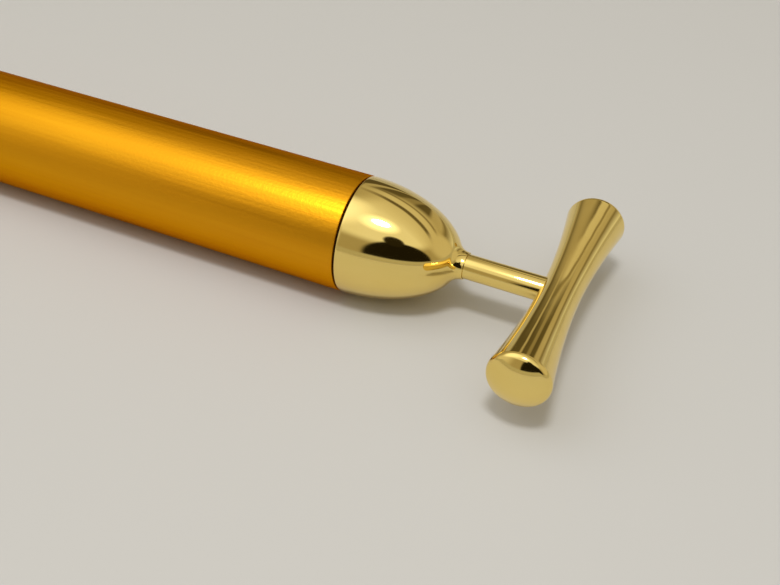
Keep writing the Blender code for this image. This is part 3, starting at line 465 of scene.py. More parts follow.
def thread_ridge(thread, root, top, start, end, lag):
    """A right-hand screw ridge in its place, its ends sinking to the root in a quarter turn.

    Its helix crosses the top of the massager at x = 0, plus whole pitches and the lag.
    """
    work = bmesh.new()
    pitch, base, crest = thread.pitch, thread.base, thread.crest
    step_travel = pitch / THREAD_STEPS
    steps = int((end - start) / step_travel)
    section = [(-base / 2, root), (-crest / 2, top), (crest / 2, top), (base / 2, root)]
    phase = tau * (start - lag) / pitch
    verts = [work.verts.new((start + x, 0, radius)) for x, radius in section]
    edges = [work.edges.new((verts[i], verts[(i + 1) % 4])) for i in range(4)]
    bmesh.ops.rotate(work, verts=verts, cent=(0, 0, 0), matrix=Matrix.Rotation(phase, 3, "X"))
    bmesh.ops.spin(work, geom=verts + edges, cent=(0, 0, 0), axis=(1, 0, 0),
                   dvec=(step_travel, 0, 0), angle=tau * steps / THREAD_STEPS, steps=steps)
    run_out = pitch * RUN_OUT_TURNS
    for vert in work.verts:
        radius = sqrt(vert.co.y ** 2 + vert.co.z ** 2)
        nearest = min(vert.co.x - start + base / 2, end + base / 2 - vert.co.x)
        share = min(1, max(0, nearest / run_out))
        wanted = root + (radius - root) * share
        vert.co.y *= wanted / radius
        vert.co.z *= wanted / radius
    close_ends(work)
    tidy(work)
    work.transform(AXIS)
    return work


def plate(loops, thickness, edge=0.0):
    """A flat piece from closed loops of (x, y), the later ones being holes, centred on Z."""
    work = bmesh.new()
    edges = []
    for loop in loops:
        verts = [work.verts.new((x, y, -thickness / 2)) for x, y in loop]
        edges += [work.edges.new((verts[i - 1], verts[i])) for i in range(len(verts))]
    bmesh.ops.triangle_fill(work, use_beauty=True, use_dissolve=False, edges=edges)
    extruded = bmesh.ops.extrude_face_region(work, geom=work.faces[:])
    moved = [item for item in extruded["geom"] if isinstance(item, bmesh.types.BMVert)]
    bmesh.ops.translate(work, verts=moved, vec=(0, 0, thickness))
    bmesh.ops.recalc_face_normals(work, faces=work.faces)
    if edge:
        sharp = [item for item in work.edges if item.calc_face_angle(0) > SMOOTH_ANGLE]
        bmesh.ops.bevel(work, geom=sharp, offset=edge, segments=FINE_SEGMENTS, profile=0.5,
                        affect="EDGES", material=-1)
    return work


def add_object(name, data):
    """An object with that data, in the scene."""
    made = bpy.data.objects.new(name, data)
    bpy.context.scene.collection.objects.link(made)
    return made


def as_mesh(name, work):
    """A mesh from a bmesh, which is used up."""
    mesh = bpy.data.meshes.new(name)
    work.to_mesh(mesh)
    work.free()
    return mesh


def evaluated_mesh(item):
    """A mesh of what a curve or an object with modifiers looks like."""
    evaluated = item.evaluated_get(bpy.context.evaluated_depsgraph_get())
    return bpy.data.meshes.new_from_object(evaluated)


def smooth(mesh):
    """Shade a mesh smooth, but for its sharp edges."""
    mesh.shade_smooth()
    mesh.set_sharp_from_angle(angle=SMOOTH_ANGLE)


def drawn_wire(points, radius, resolution=WIRE_RESOLUTION):
    """A round wire along its points."""
    curve = bpy.data.curves.new("wire", "CURVE")
    curve.dimensions = "3D"
    curve.bevel_depth = radius
    curve.bevel_resolution = resolution
    curve.use_fill_caps = True
    spline = curve.splines.new("POLY")
    spline.points.add(len(points) - 1)
    for target, point in zip(spline.points, points):
        target.co = (*point, 1)
    guide = add_object("wire", curve)
    mesh = evaluated_mesh(guide)
    work = bmesh.new()
    work.from_mesh(mesh)
    bpy.data.objects.remove(guide)
    bpy.data.curves.remove(curve)
    bpy.data.meshes.remove(mesh)
    tidy(work)
    return work


def across(along, turn=0.0):
    """Place of a flat piece that stands square to the axis, turned about it from the bottom."""
    return ACROSS @ Matrix.Translation((0, 0, along)) @ Matrix.Rotation(turn, 4, "Z")


def beside(distance, turn, along=0.0):
    """Place of a flat piece that faces the axis from a distance: its Y points to the head."""
    return (across(along, turn) @ Matrix.Translation((distance, 0, 0))
            @ Matrix.Rotation(pi / 2, 4, "Z") @ Matrix.Rotation(pi / 2, 4, "X"))


def box_work(low, high):
    """A box between two corners."""
    work = bmesh.new()
    bmesh.ops.create_cube(work, size=1)
    low, high = Vector(low), Vector(high)
    bmesh.ops.scale(work, vec=high - low, verts=work.verts)
    bmesh.ops.translate(work, vec=(low + high) / 2, verts=work.verts)
    return work


def reshape(piece, work, operation):
    """Join a shape to a piece, or cut it out, and keep the result as the piece's mesh."""
    tool = add_object("tool", as_mesh("tool", work))
    tool_mesh = tool.data
    boolean = piece.modifiers.new("Reshape", "BOOLEAN")
    boolean.operation = operation
    boolean.solver = "EXACT"
    boolean.object = tool
    result = evaluated_mesh(piece)
    smooth(result)
    old = piece.data
    piece.modifiers.clear()
    piece.data = result
    bpy.data.meshes.remove(old)
    bpy.data.objects.remove(tool)
    bpy.data.meshes.remove(tool_mesh)


def join_work(works):
    """One bmesh that holds several."""
    whole = bmesh.new()
    for work in works:
        mesh = as_mesh("part", work)
        whole.from_mesh(mesh)
        bpy.data.meshes.remove(mesh)
    return whole


def make_piece(name, work, place, recipe):
    """Turn a bmesh into an object at the origin, with its place in its mesh."""
    work.transform(place)
    mesh = as_mesh(name, work)
    smooth(mesh)
    mesh.materials.append(look(recipe))
    return add_object(name, mesh)


def fit(piece, body, slot, *nodes):
    """Let a piece ride on its body in place of its nodes."""
    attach(piece, body)
    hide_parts(*nodes)


def add_piece(name, work, place, recipe, body, slot, node, joined=(), cut=()):
    """Make a piece, join and cut out the shapes that change it, and fit it for its node."""
    piece = make_piece(name, work, place, recipe)
    for shape in joined:
        reshape(piece, shape, "UNION")
    for shape in cut:
        reshape(piece, shape, "DIFFERENCE")
    fit(piece, body, slot, node)


def add_turned(name, outline, steps, recipe, body, slot, node, **changes):
    """A piece that is turned about the massager's axis."""
    add_piece(name, turned(outline, steps), AXIS, recipe, body, slot, node, **changes)


# Tail boss and spring stub
BOSS_CHAMFER = 0.0005
STUB_RADIUS = 0.0034
STUB_HEIGHT = 0.0016
SPRING_WIRE = 0.00035
SPRING_BASE = 0.0042
SPRING_TOP = 0.0036
SPRING_TURNS = 6
SPRING_TURN_POINTS = 40

# Cell
CELL_WALL = 0.00025
NUB_RADIUS = 0.00275
NUB_HEIGHT = 0.0012
CELL_SHOULDER = 0.0005
CELL_EDGE = 0.0002
JACKET_THICKNESS = 0.0002
JACKET_BAND = 0.009
CAP_FACE = 0.0043
CAP_THICKNESS = 0.0003
SEAL_BORE = 0.0026
PELLET_COUNT = 4
PELLET_SEAM = 0.00015

# Sleeve between head and handle
SLEEVE_BORE = 0.00615
SLEEVE_NECK = 0.0069
SLEEVE_NECK_LENGTH = 0.0052
SLEEVE_SHOULDER = 0.0004
SLEEVE_COLLAR = 0.00752
SLEEVE_END = 0.00865
GROOVE_START = 0.0006
GROOVE_END = 0.0018
GROOVE_RADIUS = 0.00675
COLLAR_END = 0.0022
SEAL_RING_RADIUS = 0.00725
SEAL_RING_SECTION = 0.00045
FINE_EDGE = 0.00006

# Dome's inside
DOME_POCKET = 0.00815
DOME_SEAT = 0.00695
DOME_CAVITY = 0.006
DOME_CAVITY_END = 0.0074
STEM_START = 0.0071
STEM_TENON = 0.0006

# Strip and cup
STRIP_INNER = 0.0062
STRIP_THICKNESS = 0.00025
STRIP_WIDTH = 0.0016
STRIP_FOOT_END = 0.00745
SLOT_MARGIN = 0.0001
CUP_FLOOR = 0.0012
CUP_RADIUS = 0.0071
CUP_BORE = 0.0061
BUTTON_HEAD = 0.0026
BUTTON_HEAD_HEIGHT = 0.0008
BUTTON_SHANK = 0.0012
BUTTON_FLANGE = 0.002
BUTTON_EDGE = 0.0004

# Motor
MOTOR_WALL = 0.0005
BUSH_RADIUS = 0.00155
BOSS_WALL = 0.0005
BOSS_HEIGHT = 0.0008
BELL_FLANGE = 0.0006
MAGNET_SPAN = radians(112)
MAGNET_THICKNESS = 0.001
SHAFT_RADIUS = 0.00075
CORE_HUB = 0.0017
SHOE_THICKNESS = 0.0006
SHOE_SPAN = radians(100)
NECK_WIDTH = 0.0014
POLE_COUNT = 3
WINDING_GAP = 0.0001
SEGMENT_SPAN = radians(108)
COMMUTATOR_HUB = 0.00125
COMMUTATOR_RADIUS = 0.00175
WEIGHT_RADIUS = 0.0049
WEIGHT_HUB = 0.0017
WEIGHT_HALF_SPAN = radians(82)
COIL_LAYERS = 3
COIL_CORNER = 6
HOOK_WIDTH = 0.0005
HOOK_HEIGHT = 0.0003
HOOK_THICKNESS = 0.0002

# Brushes and terminals
BRUSH_REACH = 0.001925
BRUSH_THICKNESS = 0.00015
BRUSH_WIDTH = 0.0014
BRUSH_TIP = 0.0015
BRUSH_INSET = 0.002
BRUSH_FOOT = 0.0008
BRUSH_FORK = 0.001
BRUSH_FINGERS = 3
BRUSH_SLOT = 0.00012
BRUSH_STEPS = 8
BRUSH_CURL = 0.0001
TAB_INSET = 0.002
TAB_THICKNESS = 0.0003
TAB_WIDTH = 0.0016
TAB_LENGTH = 0.0028
TAB_HOLE = 0.0004
TAB_EDGE = 0.00004

# Leads
LEAD_RADIUS = 0.00045
LEAD_BEND = 0.0015
STRAND_COUNT = 6
STRAND_RADIUS = 0.00009
STRAND_PITCH = 0.00019
STRAND_LENGTH = 0.0004

# The two sides of the motor, by their turn from the bottom
SIDES = (("left", 0), ("right", pi))

# Turns of the tube's mouth that stay plain, so that the sleeve's collar passes
PLAIN_TURNS = 3


def rod(start, end, radius):
    """Outline of a plain rod with its two edges rounded."""
    return [(start, 0), (start, radius, CELL_EDGE), (end, radius, CELL_EDGE), (end, 0)]


def from_face(outline):
    """An outline along the massager from one that counts from the head's rear face."""
    return [(HEAD_FACE + x, *rest) for x, *rest in outline]


def strip_slot(start, end, inner, outer=STRIP_INNER + STRIP_THICKNESS + SLOT_MARGIN):
    """Room for the contact strip, to be cut out of what it passes."""
    half = STRIP_WIDTH / 2 + SLOT_MARGIN
    return box_work((start, -half, AXIS_HEIGHT + inner), (end, half, AXIS_HEIGHT + outer))


class MASSAGER_OT_handle_sleeve(bpy.types.Operator):
    """Build the anodised tube with the screw thread in its mouth"""

    bl_idname = "massager.handle_sleeve"
    bl_label = "Handle Sleeve"

    def execute(self, context):
        sizes = context.scene.massager_handle
        thread = context.scene.massager_thread
        bore = sizes.radius - sizes.wall
        seat = bore + sizes.seat_step
        seat_start = TUBE_MOUTH - sizes.seat_depth
        outline = [
            (TUBE_START, bore, sizes.edge), (TUBE_START, sizes.radius, sizes.edge),
            (TUBE_MOUTH, sizes.radius, sizes.edge), (TUBE_MOUTH, seat, sizes.edge),
            (seat_start, seat), (seat_start - sizes.seat_step, bore),
        ]
        ridge = thread_ridge(thread, seat + FINE_EDGE, seat - thread.height,
                             seat_start + thread.pitch, TUBE_MOUTH - PLAIN_TURNS * thread.pitch,
                             lag=thread.pitch / 2)
        add_turned("handle_sleeve", outline, BODY_STEPS, anodised_aluminium, "handle",
                   "anodised_handle", "handle_tube", joined=[ridge])
        return {"FINISHED"}


class MASSAGER_OT_tail(bpy.types.Operator):
    """Build the rounded tail cap with the boss and stub behind it"""

    bl_idname = "massager.tail"
    bl_label = "Tail Cap"

    def execute(self, context):
        sizes = context.scene.massager_handle
        boss = sizes.radius - sizes.wall - PRESS_GAP
        rim = TAIL_END + sizes.tail_length
        boss_end = TAIL_STUB_END - STUB_HEIGHT
        width = sizes.radius - sizes.tail_face
        quarter_steps = BODY_STEPS // 8
        outline = [(TAIL_END, 0)]
        for i in range(quarter_steps + 1):
            angle = pi / 2 * i / quarter_steps
            outline.append((TAIL_END + sizes.tail_rounding * (1 - cos(angle)),
                            sizes.tail_face + width * sin(angle)))
        outline += [
            (rim, sizes.radius, sizes.edge), (rim, boss),
            (boss_end, boss, BOSS_CHAMFER), (boss_end, STUB_RADIUS),
            (TAIL_STUB_END, STUB_RADIUS, BOSS_CHAMFER), (TAIL_STUB_END, 0),
        ]
        add_turned("tail_cap_shell", outline, BODY_STEPS, polished_gold, "handle",
                   "tail_plating", "tail_cap")
        return {"FINISHED"}


class MASSAGER_OT_spring(bpy.types.Operator):
    """Build the tapered spring between the tail and the cell"""

    bl_idname = "massager.spring"
    bl_label = "Battery Spring"

    def execute(self, context):
        start = span("tail_spring")[0] + SPRING_WIRE
        end = span("tail_spring")[1] - SPRING_WIRE
        flat_rise = 2 * SPRING_WIRE + PRESS_GAP
        count = SPRING_TURNS * SPRING_TURN_POINTS
        points = []
        for i in range(count + 1):
            turns = i / SPRING_TURN_POINTS
            middle_share = min(1, max(0, (turns - 1) / (SPRING_TURNS - 2)))
            ends_share = min(turns, 1) + max(0, turns - SPRING_TURNS + 1)
            rise = flat_rise * ends_share + (end - start - 2 * flat_rise) * middle_share
            radius = SPRING_BASE + (SPRING_TOP - SPRING_BASE) * i / count
            points.append((start + rise, radius * sin(tau * turns), -radius * cos(tau * turns)))
        spring = make_piece("coil_spring", drawn_wire(points, SPRING_WIRE), AXIS,
                            "nickel_plated_spring_steel")
        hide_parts("tail_spring")
        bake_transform(spring)
        return {"FINISHED"}


class MASSAGER_OT_cell(bpy.types.Operator):
    """Build the cell: steel can, film, seal, powder and negative cap"""

    bl_idname = "massager.cell"
    bl_label = "Battery Cell"

    def execute(self, context):
        start, nub_end = span("battery_can")
        radius = reach("battery_can")
        bore = radius - CELL_WALL
        shoulder = nub_end - NUB_HEIGHT
        can = [
            (nub_end, 0), (nub_end, NUB_RADIUS, CELL_EDGE), (shoulder, NUB_RADIUS),
            (shoulder, radius, CELL_SHOULDER), (start, radius, FINE_EDGE), (start, bore),
            (shoulder - CELL_SHOULDER, bore), (shoulder - CELL_SHOULDER, 0),
        ]
        film = ring(radius + PRESS_GAP, radius + PRESS_GAP + JACKET_THICKNESS,
                    *span("battery_jacket"), FINE_EDGE)
        low, high = span("battery_negative_cap")
        rim = reach("battery_negative_cap")
        cap = [
            (low, 0), (low, CAP_FACE, CELL_EDGE),
            (high - CAP_THICKNESS, CAP_FACE + CAP_THICKNESS), (high - CAP_THICKNESS, rim),
            (high, rim), (high, CAP_FACE),
            (low + CAP_THICKNESS, CAP_FACE - CAP_THICKNESS), (low + CAP_THICKNESS, 0),
        ]
        seal = ring(SEAL_BORE, reach("battery_seal"), *span("battery_seal"), CELL_EDGE)
        low, high = span("battery_core")
        core = reach("battery_core")
        pellets = [(low, 0), (low, core, CELL_EDGE)]
        for i in range(1, PELLET_COUNT):
            seam = low + (high - low) / PELLET_COUNT * i
            pellets += [(seam - PELLET_SEAM, core), (seam, core - PELLET_SEAM),
                        (seam + PELLET_SEAM, core)]
        pellets += [(high, core, CELL_EDGE), (high, 0)]
        for name, outline, recipe, slot, node in (
                ("can", can, "nickel_plated_can", "nickel_plating", "can"),
                ("film_wrap", film, cell_film, "cell_jacket", "jacket"),
                ("base_cap", cap, "nickel_plated_can", "nickel_plating", "negative_cap"),
                ("seal", seal, "moulded_nylon", "white_nylon", "seal"),
                ("pellets", pellets, "pressed_powder", "cell_filling", "core")):
            add_turned("cell_" + name, outline, INNER_STEPS, recipe, "battery", slot,
                       "battery_" + node)
        return {"FINISHED"}


class MASSAGER_OT_dome(bpy.types.Operator):
    """Build the polished bell that closes the handle"""

    bl_idname = "massager.dome"
    bl_label = "Head Dome"

    def execute(self, context):
        sizes = context.scene.massager_head
        radius = context.scene.massager_handle.radius
        nose = sizes.stem_radius + sizes.nose_lip
        blend = acos(sizes.blend_radius / radius)
        blend_place = sizes.dome_length * sin(blend)
        normal = Vector((blend_place / sizes.dome_length ** 2, sizes.blend_radius / radius ** 2))
        normal.normalize()
        fillet = (sizes.blend_radius - nose) / (1 - normal.y)
        centre = (blend_place + fillet * normal.x, nose + fillet)
        bell_points = BODY_STEPS // 4
        outline = [(0, radius, sizes.rear_edge)]
        for i in range(1, bell_points):
            angle = blend * i / bell_points
            outline.append((sizes.dome_length * sin(angle), radius * cos(angle)))
        outline += arc(centre, fillet, pi + asin(normal.y), 3 * pi / 2, SECTION_STEPS // 2)
        stem_hole = sizes.stem_radius + PRESS_GAP
        pocket_depth = SLEEVE_SHOULDER + PRESS_GAP
        seat_depth = SLEEVE_NECK_LENGTH + PRESS_GAP
        outline += [
            (outline[-1][0], stem_hole), (DOME_CAVITY_END, stem_hole),
            (DOME_CAVITY_END, DOME_CAVITY), (seat_depth, DOME_CAVITY), (seat_depth, DOME_SEAT),
            (pocket_depth, DOME_SEAT), (pocket_depth, DOME_POCKET), (0, DOME_POCKET),
        ]
        add_turned("dome_shell", from_face(outline), BODY_STEPS, polished_gold, "head",
                   "gold_plating", "head_dome")
        return {"FINISHED"}


class MASSAGER_OT_stem_and_bar(bpy.types.Operator):
    """Build the neck stem and the cross bar"""

    bl_idname = "massager.stem_and_bar"
    bl_label = "Stem and Cross Bar"

    def execute(self, context):
        sizes = context.scene.massager_head
        stem = rod(HEAD_FACE + STEM_START, BAR_PLACE + STEM_TENON, sizes.stem_radius)
        add_turned("stem_rod", stem, INNER_STEPS, polished_gold, "head", "gold_plating",
                   "neck_stem")

        crease = sizes.bar_length / 2 - sizes.cap_height
        edge_radius = sizes.bar_radius - sizes.cap_edge
        cap_radius = (
            (sizes.cap_height ** 2 + edge_radius ** 2 - sizes.cap_edge ** 2)
            / (2 * (sizes.cap_height - sizes.cap_edge))
        )
        join = atan2(edge_radius, cap_radius - sizes.cap_height)
        cap_points = BAR_STEPS // 8
        half = arc((sizes.bar_length / 2 - cap_radius, 0), cap_radius, 0, join, cap_points)
        half += arc((crease, edge_radius), sizes.cap_edge, join, pi / 2, cap_points)[1:-1]
        half.append((crease, sizes.bar_radius, sizes.crease_edge))
        rise = sizes.bar_radius - sizes.waist_radius
        flare_points = BAR_STEPS // 4
        for i in range(1, flare_points):
            along = 1 - i / flare_points
            half.append((crease * along, sizes.waist_radius + rise * along ** sizes.waist_power))
        other = [(-point[0], *point[1:]) for point in reversed(half)]
        outline = half + [(0, sizes.waist_radius)] + other
        place = Matrix.Translation((BAR_PLACE, 0, AXIS_HEIGHT)) @ Matrix.Rotation(pi / 2, 4, "Z")
        add_piece("cross_bar", turned(outline, BAR_STEPS), place, polished_gold, "head",
                  "gold_plating", "t_bar")
        return {"FINISHED"}


class MASSAGER_OT_screw_sleeve(bpy.types.Operator):
    """Build the threaded sleeve with its seal, contact ring and contact strip"""

    bl_idname = "massager.screw_sleeve"
    bl_label = "Screw Sleeve"

    def execute(self, context):
        thread = context.scene.massager_thread
        outline = [
            (SLEEVE_NECK_LENGTH, SLEEVE_BORE), (SLEEVE_NECK_LENGTH, SLEEVE_NECK, FINE_EDGE),
            (SLEEVE_SHOULDER, SLEEVE_NECK), (SLEEVE_SHOULDER, SLEEVE_COLLAR, FINE_EDGE),
            (-GROOVE_START, SLEEVE_COLLAR, FINE_EDGE), (-GROOVE_START, GROOVE_RADIUS),
            (-GROOVE_END, GROOVE_RADIUS), (-GROOVE_END, SLEEVE_COLLAR, FINE_EDGE),
            (-COLLAR_END, SLEEVE_COLLAR, FINE_EDGE), (-COLLAR_END, thread.root),
            (-SLEEVE_END, thread.root, CELL_EDGE), (-SLEEVE_END, SLEEVE_BORE),
        ]
        ridge = thread_ridge(thread, thread.root - FINE_EDGE, thread.root + thread.height,
                             HEAD_FACE - SLEEVE_END + thread.pitch / 2,
                             HEAD_FACE - COLLAR_END - thread.pitch / 2, lag=0)
        slot_end = HEAD_FACE + SLEEVE_SHOULDER + SLOT_MARGIN
        slots = [
            strip_slot(HEAD_FACE - SLEEVE_END - SLOT_MARGIN, slot_end, SLEEVE_BORE / 2),
            strip_slot(HEAD_FACE, slot_end, STRIP_INNER, DOME_POCKET),
        ]
        add_turned("screw_sleeve", from_face(outline), BODY_STEPS, "moulded_black_abs", "head",
                   "black_plastic", "thread_plug", joined=[ridge], cut=slots)

        centre = HEAD_FACE - (GROOVE_START + GROOVE_END) / 2
        section = circle((centre, SEAL_RING_RADIUS), SEAL_RING_SECTION, SECTION_STEPS)
        add_turned("seal_ring", section, BODY_STEPS, "nitrile_rubber", "head", "black_rubber",
                   "head_o_ring")
        contact = ring(SLEEVE_COLLAR + PRESS_GAP, reach("contact_ring"), *span("contact_ring"),
                       FINE_EDGE)
        add_turned("ring_contact", contact, BODY_STEPS, "rolled_brass", "head",
                   "contact_brass", "contact_ring")

        strip_start, strip_end = span("contact_strip")
        outer = STRIP_INNER + STRIP_THICKNESS
        profile = [
            (strip_start, STRIP_INNER), (strip_end - FINE_EDGE, STRIP_INNER),
            (strip_end, STRIP_INNER + FINE_EDGE), (strip_end, STRIP_FOOT_END),
            (strip_end - STRIP_THICKNESS, STRIP_FOOT_END),
            (strip_end - STRIP_THICKNESS, outer + FINE_EDGE),
            (strip_end - STRIP_THICKNESS - FINE_EDGE, outer), (strip_start, outer),
        ]
        add_piece("strip_contact", plate([profile], STRIP_WIDTH, FINE_EDGE / 2),
                  AXIS @ Matrix.Rotation(pi / 2, 4, "X"), "rolled_brass", "head",
                  "contact_brass", "contact_strip")
        return {"FINISHED"}


class MASSAGER_OT_cup_and_button(bpy.types.Operator):
    """Build the moulded cup behind the motor and the contact rivet in its floor"""

    bl_idname = "massager.cup_and_button"
    bl_label = "Motor Cup and Button"

    def execute(self, context):
        foot, front = span("motor_cup")
        floor_top = foot + CUP_FLOOR
        shank_hole = BUTTON_SHANK + PRESS_GAP
        outline = [
            (front, CUP_BORE), (front, CUP_RADIUS, BOSS_CHAMFER), (foot, CUP_RADIUS, BOSS_CHAMFER),
            (foot, shank_hole), (floor_top, shank_hole), (floor_top, CUP_BORE, CELL_EDGE),
        ]
        slot = strip_slot(span("contact_strip")[0] - STRIP_THICKNESS, front + SLOT_MARGIN,
                          CUP_BORE / 2)
        add_turned("cup_shell", outline, INNER_STEPS, "moulded_black_abs", "head",
                   "black_plastic", "motor_cup", cut=[slot])

        low, high = span("contact_button")
        outline = [
            (high, 0), (high, BUTTON_FLANGE, FINE_EDGE), (floor_top + PRESS_GAP, BUTTON_FLANGE),
            (floor_top + PRESS_GAP, BUTTON_SHANK), (low + BUTTON_HEAD_HEIGHT, BUTTON_SHANK),
            (low + BUTTON_HEAD_HEIGHT, BUTTON_HEAD, FINE_EDGE), (low, BUTTON_HEAD, BUTTON_EDGE),
            (low, 0),
        ]
        add_turned("button_rivet", outline, INNER_STEPS, "rolled_brass", "head",
                   "contact_brass", "contact_button")
        return {"FINISHED"}


class MASSAGER_OT_motor_case(bpy.types.Operator):
    """Build the motor's can, end bell, bushes, magnets, brushes and terminals"""

    bl_idname = "massager.motor_case"
    bl_label = "Motor Case"

    def execute(self, context):
        rear, nose_end = span("motor_can")
        radius = reach("motor_can")
        bore = radius - MOTOR_WALL
        front = nose_end - BOSS_HEIGHT
        seat = BUSH_RADIUS + PRESS_GAP
        outline = [
            (nose_end, seat), (nose_end, seat + BOSS_WALL, FINE_EDGE), (front, seat + BOSS_WALL),
            (front, radius, context.scene.massager_motor.edge), (rear, radius, FINE_EDGE),
            (rear, bore), (front - MOTOR_WALL, bore), (front - MOTOR_WALL, seat),
        ]
        add_turned("motor_can_shell", outline, INNER_STEPS, "zinc_plated_steel", "head",
                   "motor_steel", "motor_can")

        foot, face = span("motor_end_bell")
        flange_top = foot + BELL_FLANGE
        outline = [
            (face, seat), (face, bore - PRESS_GAP, FINE_EDGE), (flange_top, bore - PRESS_GAP),
            (flange_top, radius - PRESS_GAP, FINE_EDGE), (foot, radius - PRESS_GAP, CELL_EDGE),
            (foot, seat),
        ]
        add_turned("end_bell", outline, INNER_STEPS, "moulded_nylon", "head", "white_nylon",
                   "motor_end_bell")

        for end in ("front", "rear"):
            bush = ring(SHAFT_RADIUS + RUNNING_GAP, BUSH_RADIUS, *span(end + "_bush"), FINE_EDGE)
            add_turned("bush_" + end, bush, PIN_STEPS, "sintered_bronze", "head", "bronze",
                       end + "_bush")

        outer = bore - 2 * PRESS_GAP
        section = ring(outer - MAGNET_THICKNESS, outer, *span("magnet_left"), FINE_EDGE)
        for side, turn in SIDES:
            place = AXIS @ Matrix.Rotation(turn - pi / 2 - MAGNET_SPAN / 2, 4, "X")
            add_piece("ferrite_" + side, turned(section, INNER_STEPS // 3, MAGNET_SPAN), place,
                      "sintered_ferrite", "head", "ferrite", "magnet_" + side)

        self.add_brushes(bore, face)
        return {"FINISHED"}

    def add_brushes(self, bore, face):
        """Two leaf brushes with split tips, and the tabs that the leads are soldered to."""
        low, high = span("commutator_hub")
        centre = (low + high) / 2
        half = BRUSH_WIDTH / 2
        root = bore - BRUSH_INSET
        foot = face + PRESS_GAP - centre
        comb = [(root - BRUSH_FOOT, -half), (root - BRUSH_FOOT, foot), (root, foot), (root, half)]
        finger = (BRUSH_WIDTH - (BRUSH_FINGERS - 1) * BRUSH_SLOT) / BRUSH_FINGERS
        steps = [BRUSH_FORK + (-BRUSH_TIP - BRUSH_FORK) * i / BRUSH_STEPS
                 for i in range(BRUSH_STEPS + 1)]
        for k in range(BRUSH_FINGERS):
            top = half - k * (finger + BRUSH_SLOT)
            comb += [(x, top) for x in steps] + [(x, top - finger) for x in reversed(steps)]
        tab_top = span("terminal_left")[1]
        tip = tab_top - TAB_LENGTH + TAB_WIDTH / 2
        tab = [(TAB_WIDTH / 2, tab_top), (-TAB_WIDTH / 2, tab_top)]
        tab += arc((0, tip), TAB_WIDTH / 2, pi, tau, SECTION_STEPS)
        hole = circle((0, tip), TAB_HOLE, SECTION_STEPS)
        for side, turn in SIDES:
            leaf = plate([comb], BRUSH_THICKNESS)
            for vert in leaf.verts:
                if vert.co.x < BRUSH_FORK:
                    vert.co.z += BRUSH_CURL * ((BRUSH_FORK - vert.co.x) / BRUSH_TIP) ** 2
            add_piece("brush_leaf_" + side, leaf, beside(BRUSH_REACH, turn, centre),
                      "rolled_brass", "head", "contact_brass", "brush_" + side)
            add_piece("solder_tab_" + side, plate([tab, hole], TAB_THICKNESS, TAB_EDGE),
                      beside(bore - TAB_INSET, turn), "rolled_brass", "head", "contact_brass",
                      "terminal_" + side)


class MASSAGER_OT_leads(bpy.types.Operator):
    """Build the two insulated leads in the cup, with their bare ends"""

    bl_idname = "massager.leads"
    bl_label = "Motor Leads"

    def execute(self, context):
        motor_bore = reach("motor_can") - MOTOR_WALL
        side = motor_bore - TAB_INSET + TAB_THICKNESS / 2 + LEAD_RADIUS + SLOT_MARGIN
        tab_foot = span("terminal_left")[0]
        floor = span("contact_button")[1] + LEAD_RADIUS + SLOT_MARGIN
        bend = (side - LEAD_BEND, floor + LEAD_BEND)
        red = [(side, tab_foot + TAB_WIDTH)]
        red += arc(bend, LEAD_BEND, 0, -pi / 2, SECTION_STEPS)
        red.append((-BUTTON_SHANK, floor))

        wall = STRIP_INNER - LEAD_RADIUS - SLOT_MARGIN
        strip_tail = span("contact_strip")[0]
        sway_top = tab_foot + TAB_WIDTH / 2
        black = [(-side, tab_foot + TAB_WIDTH)]
        for i in range(SECTION_STEPS + 1):
            share = i / SECTION_STEPS
            sway = (1 - cos(pi * share)) / 2
            black.append((-side - (wall - side) * sway,
                          sway_top + (strip_tail - sway_top) * share))
        self.add_lead("red", red)
        self.add_lead("black", black)
        return {"FINISHED"}

    def add_lead(self, colour, route):
        """One lead: its insulation, and tinned strands that show at both ends."""
        points = [(x, 0, z) for x, z in route]
        sleeve = drawn_wire(points, LEAD_RADIUS, LEAD_RESOLUTION)
        add_piece("wire_" + colour, sleeve, ACROSS, colour + "_pvc", "head",
                  colour + "_insulation", "lead_" + colour)
        strands = []
        for end, inward in ((points[0], points[1]), (points[-1], points[-2])):
            end, inward = Vector(end), Vector(inward)
            outward = (end - inward).normalized() * STRAND_LENGTH
            sideways = outward.normalized().cross((0, 1, 0))
            for k in range(STRAND_COUNT):
                turn = tau * k / STRAND_COUNT
                offset = (sideways * cos(turn) + Vector((0, 1, 0)) * sin(turn)) * STRAND_PITCH
                strands.append(drawn_wire([end - outward + offset, end + outward + offset],
                                          STRAND_RADIUS))
        piece = make_piece("strands_" + colour, join_work(strands), ACROSS, "tinned_copper")
        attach(piece, "head")


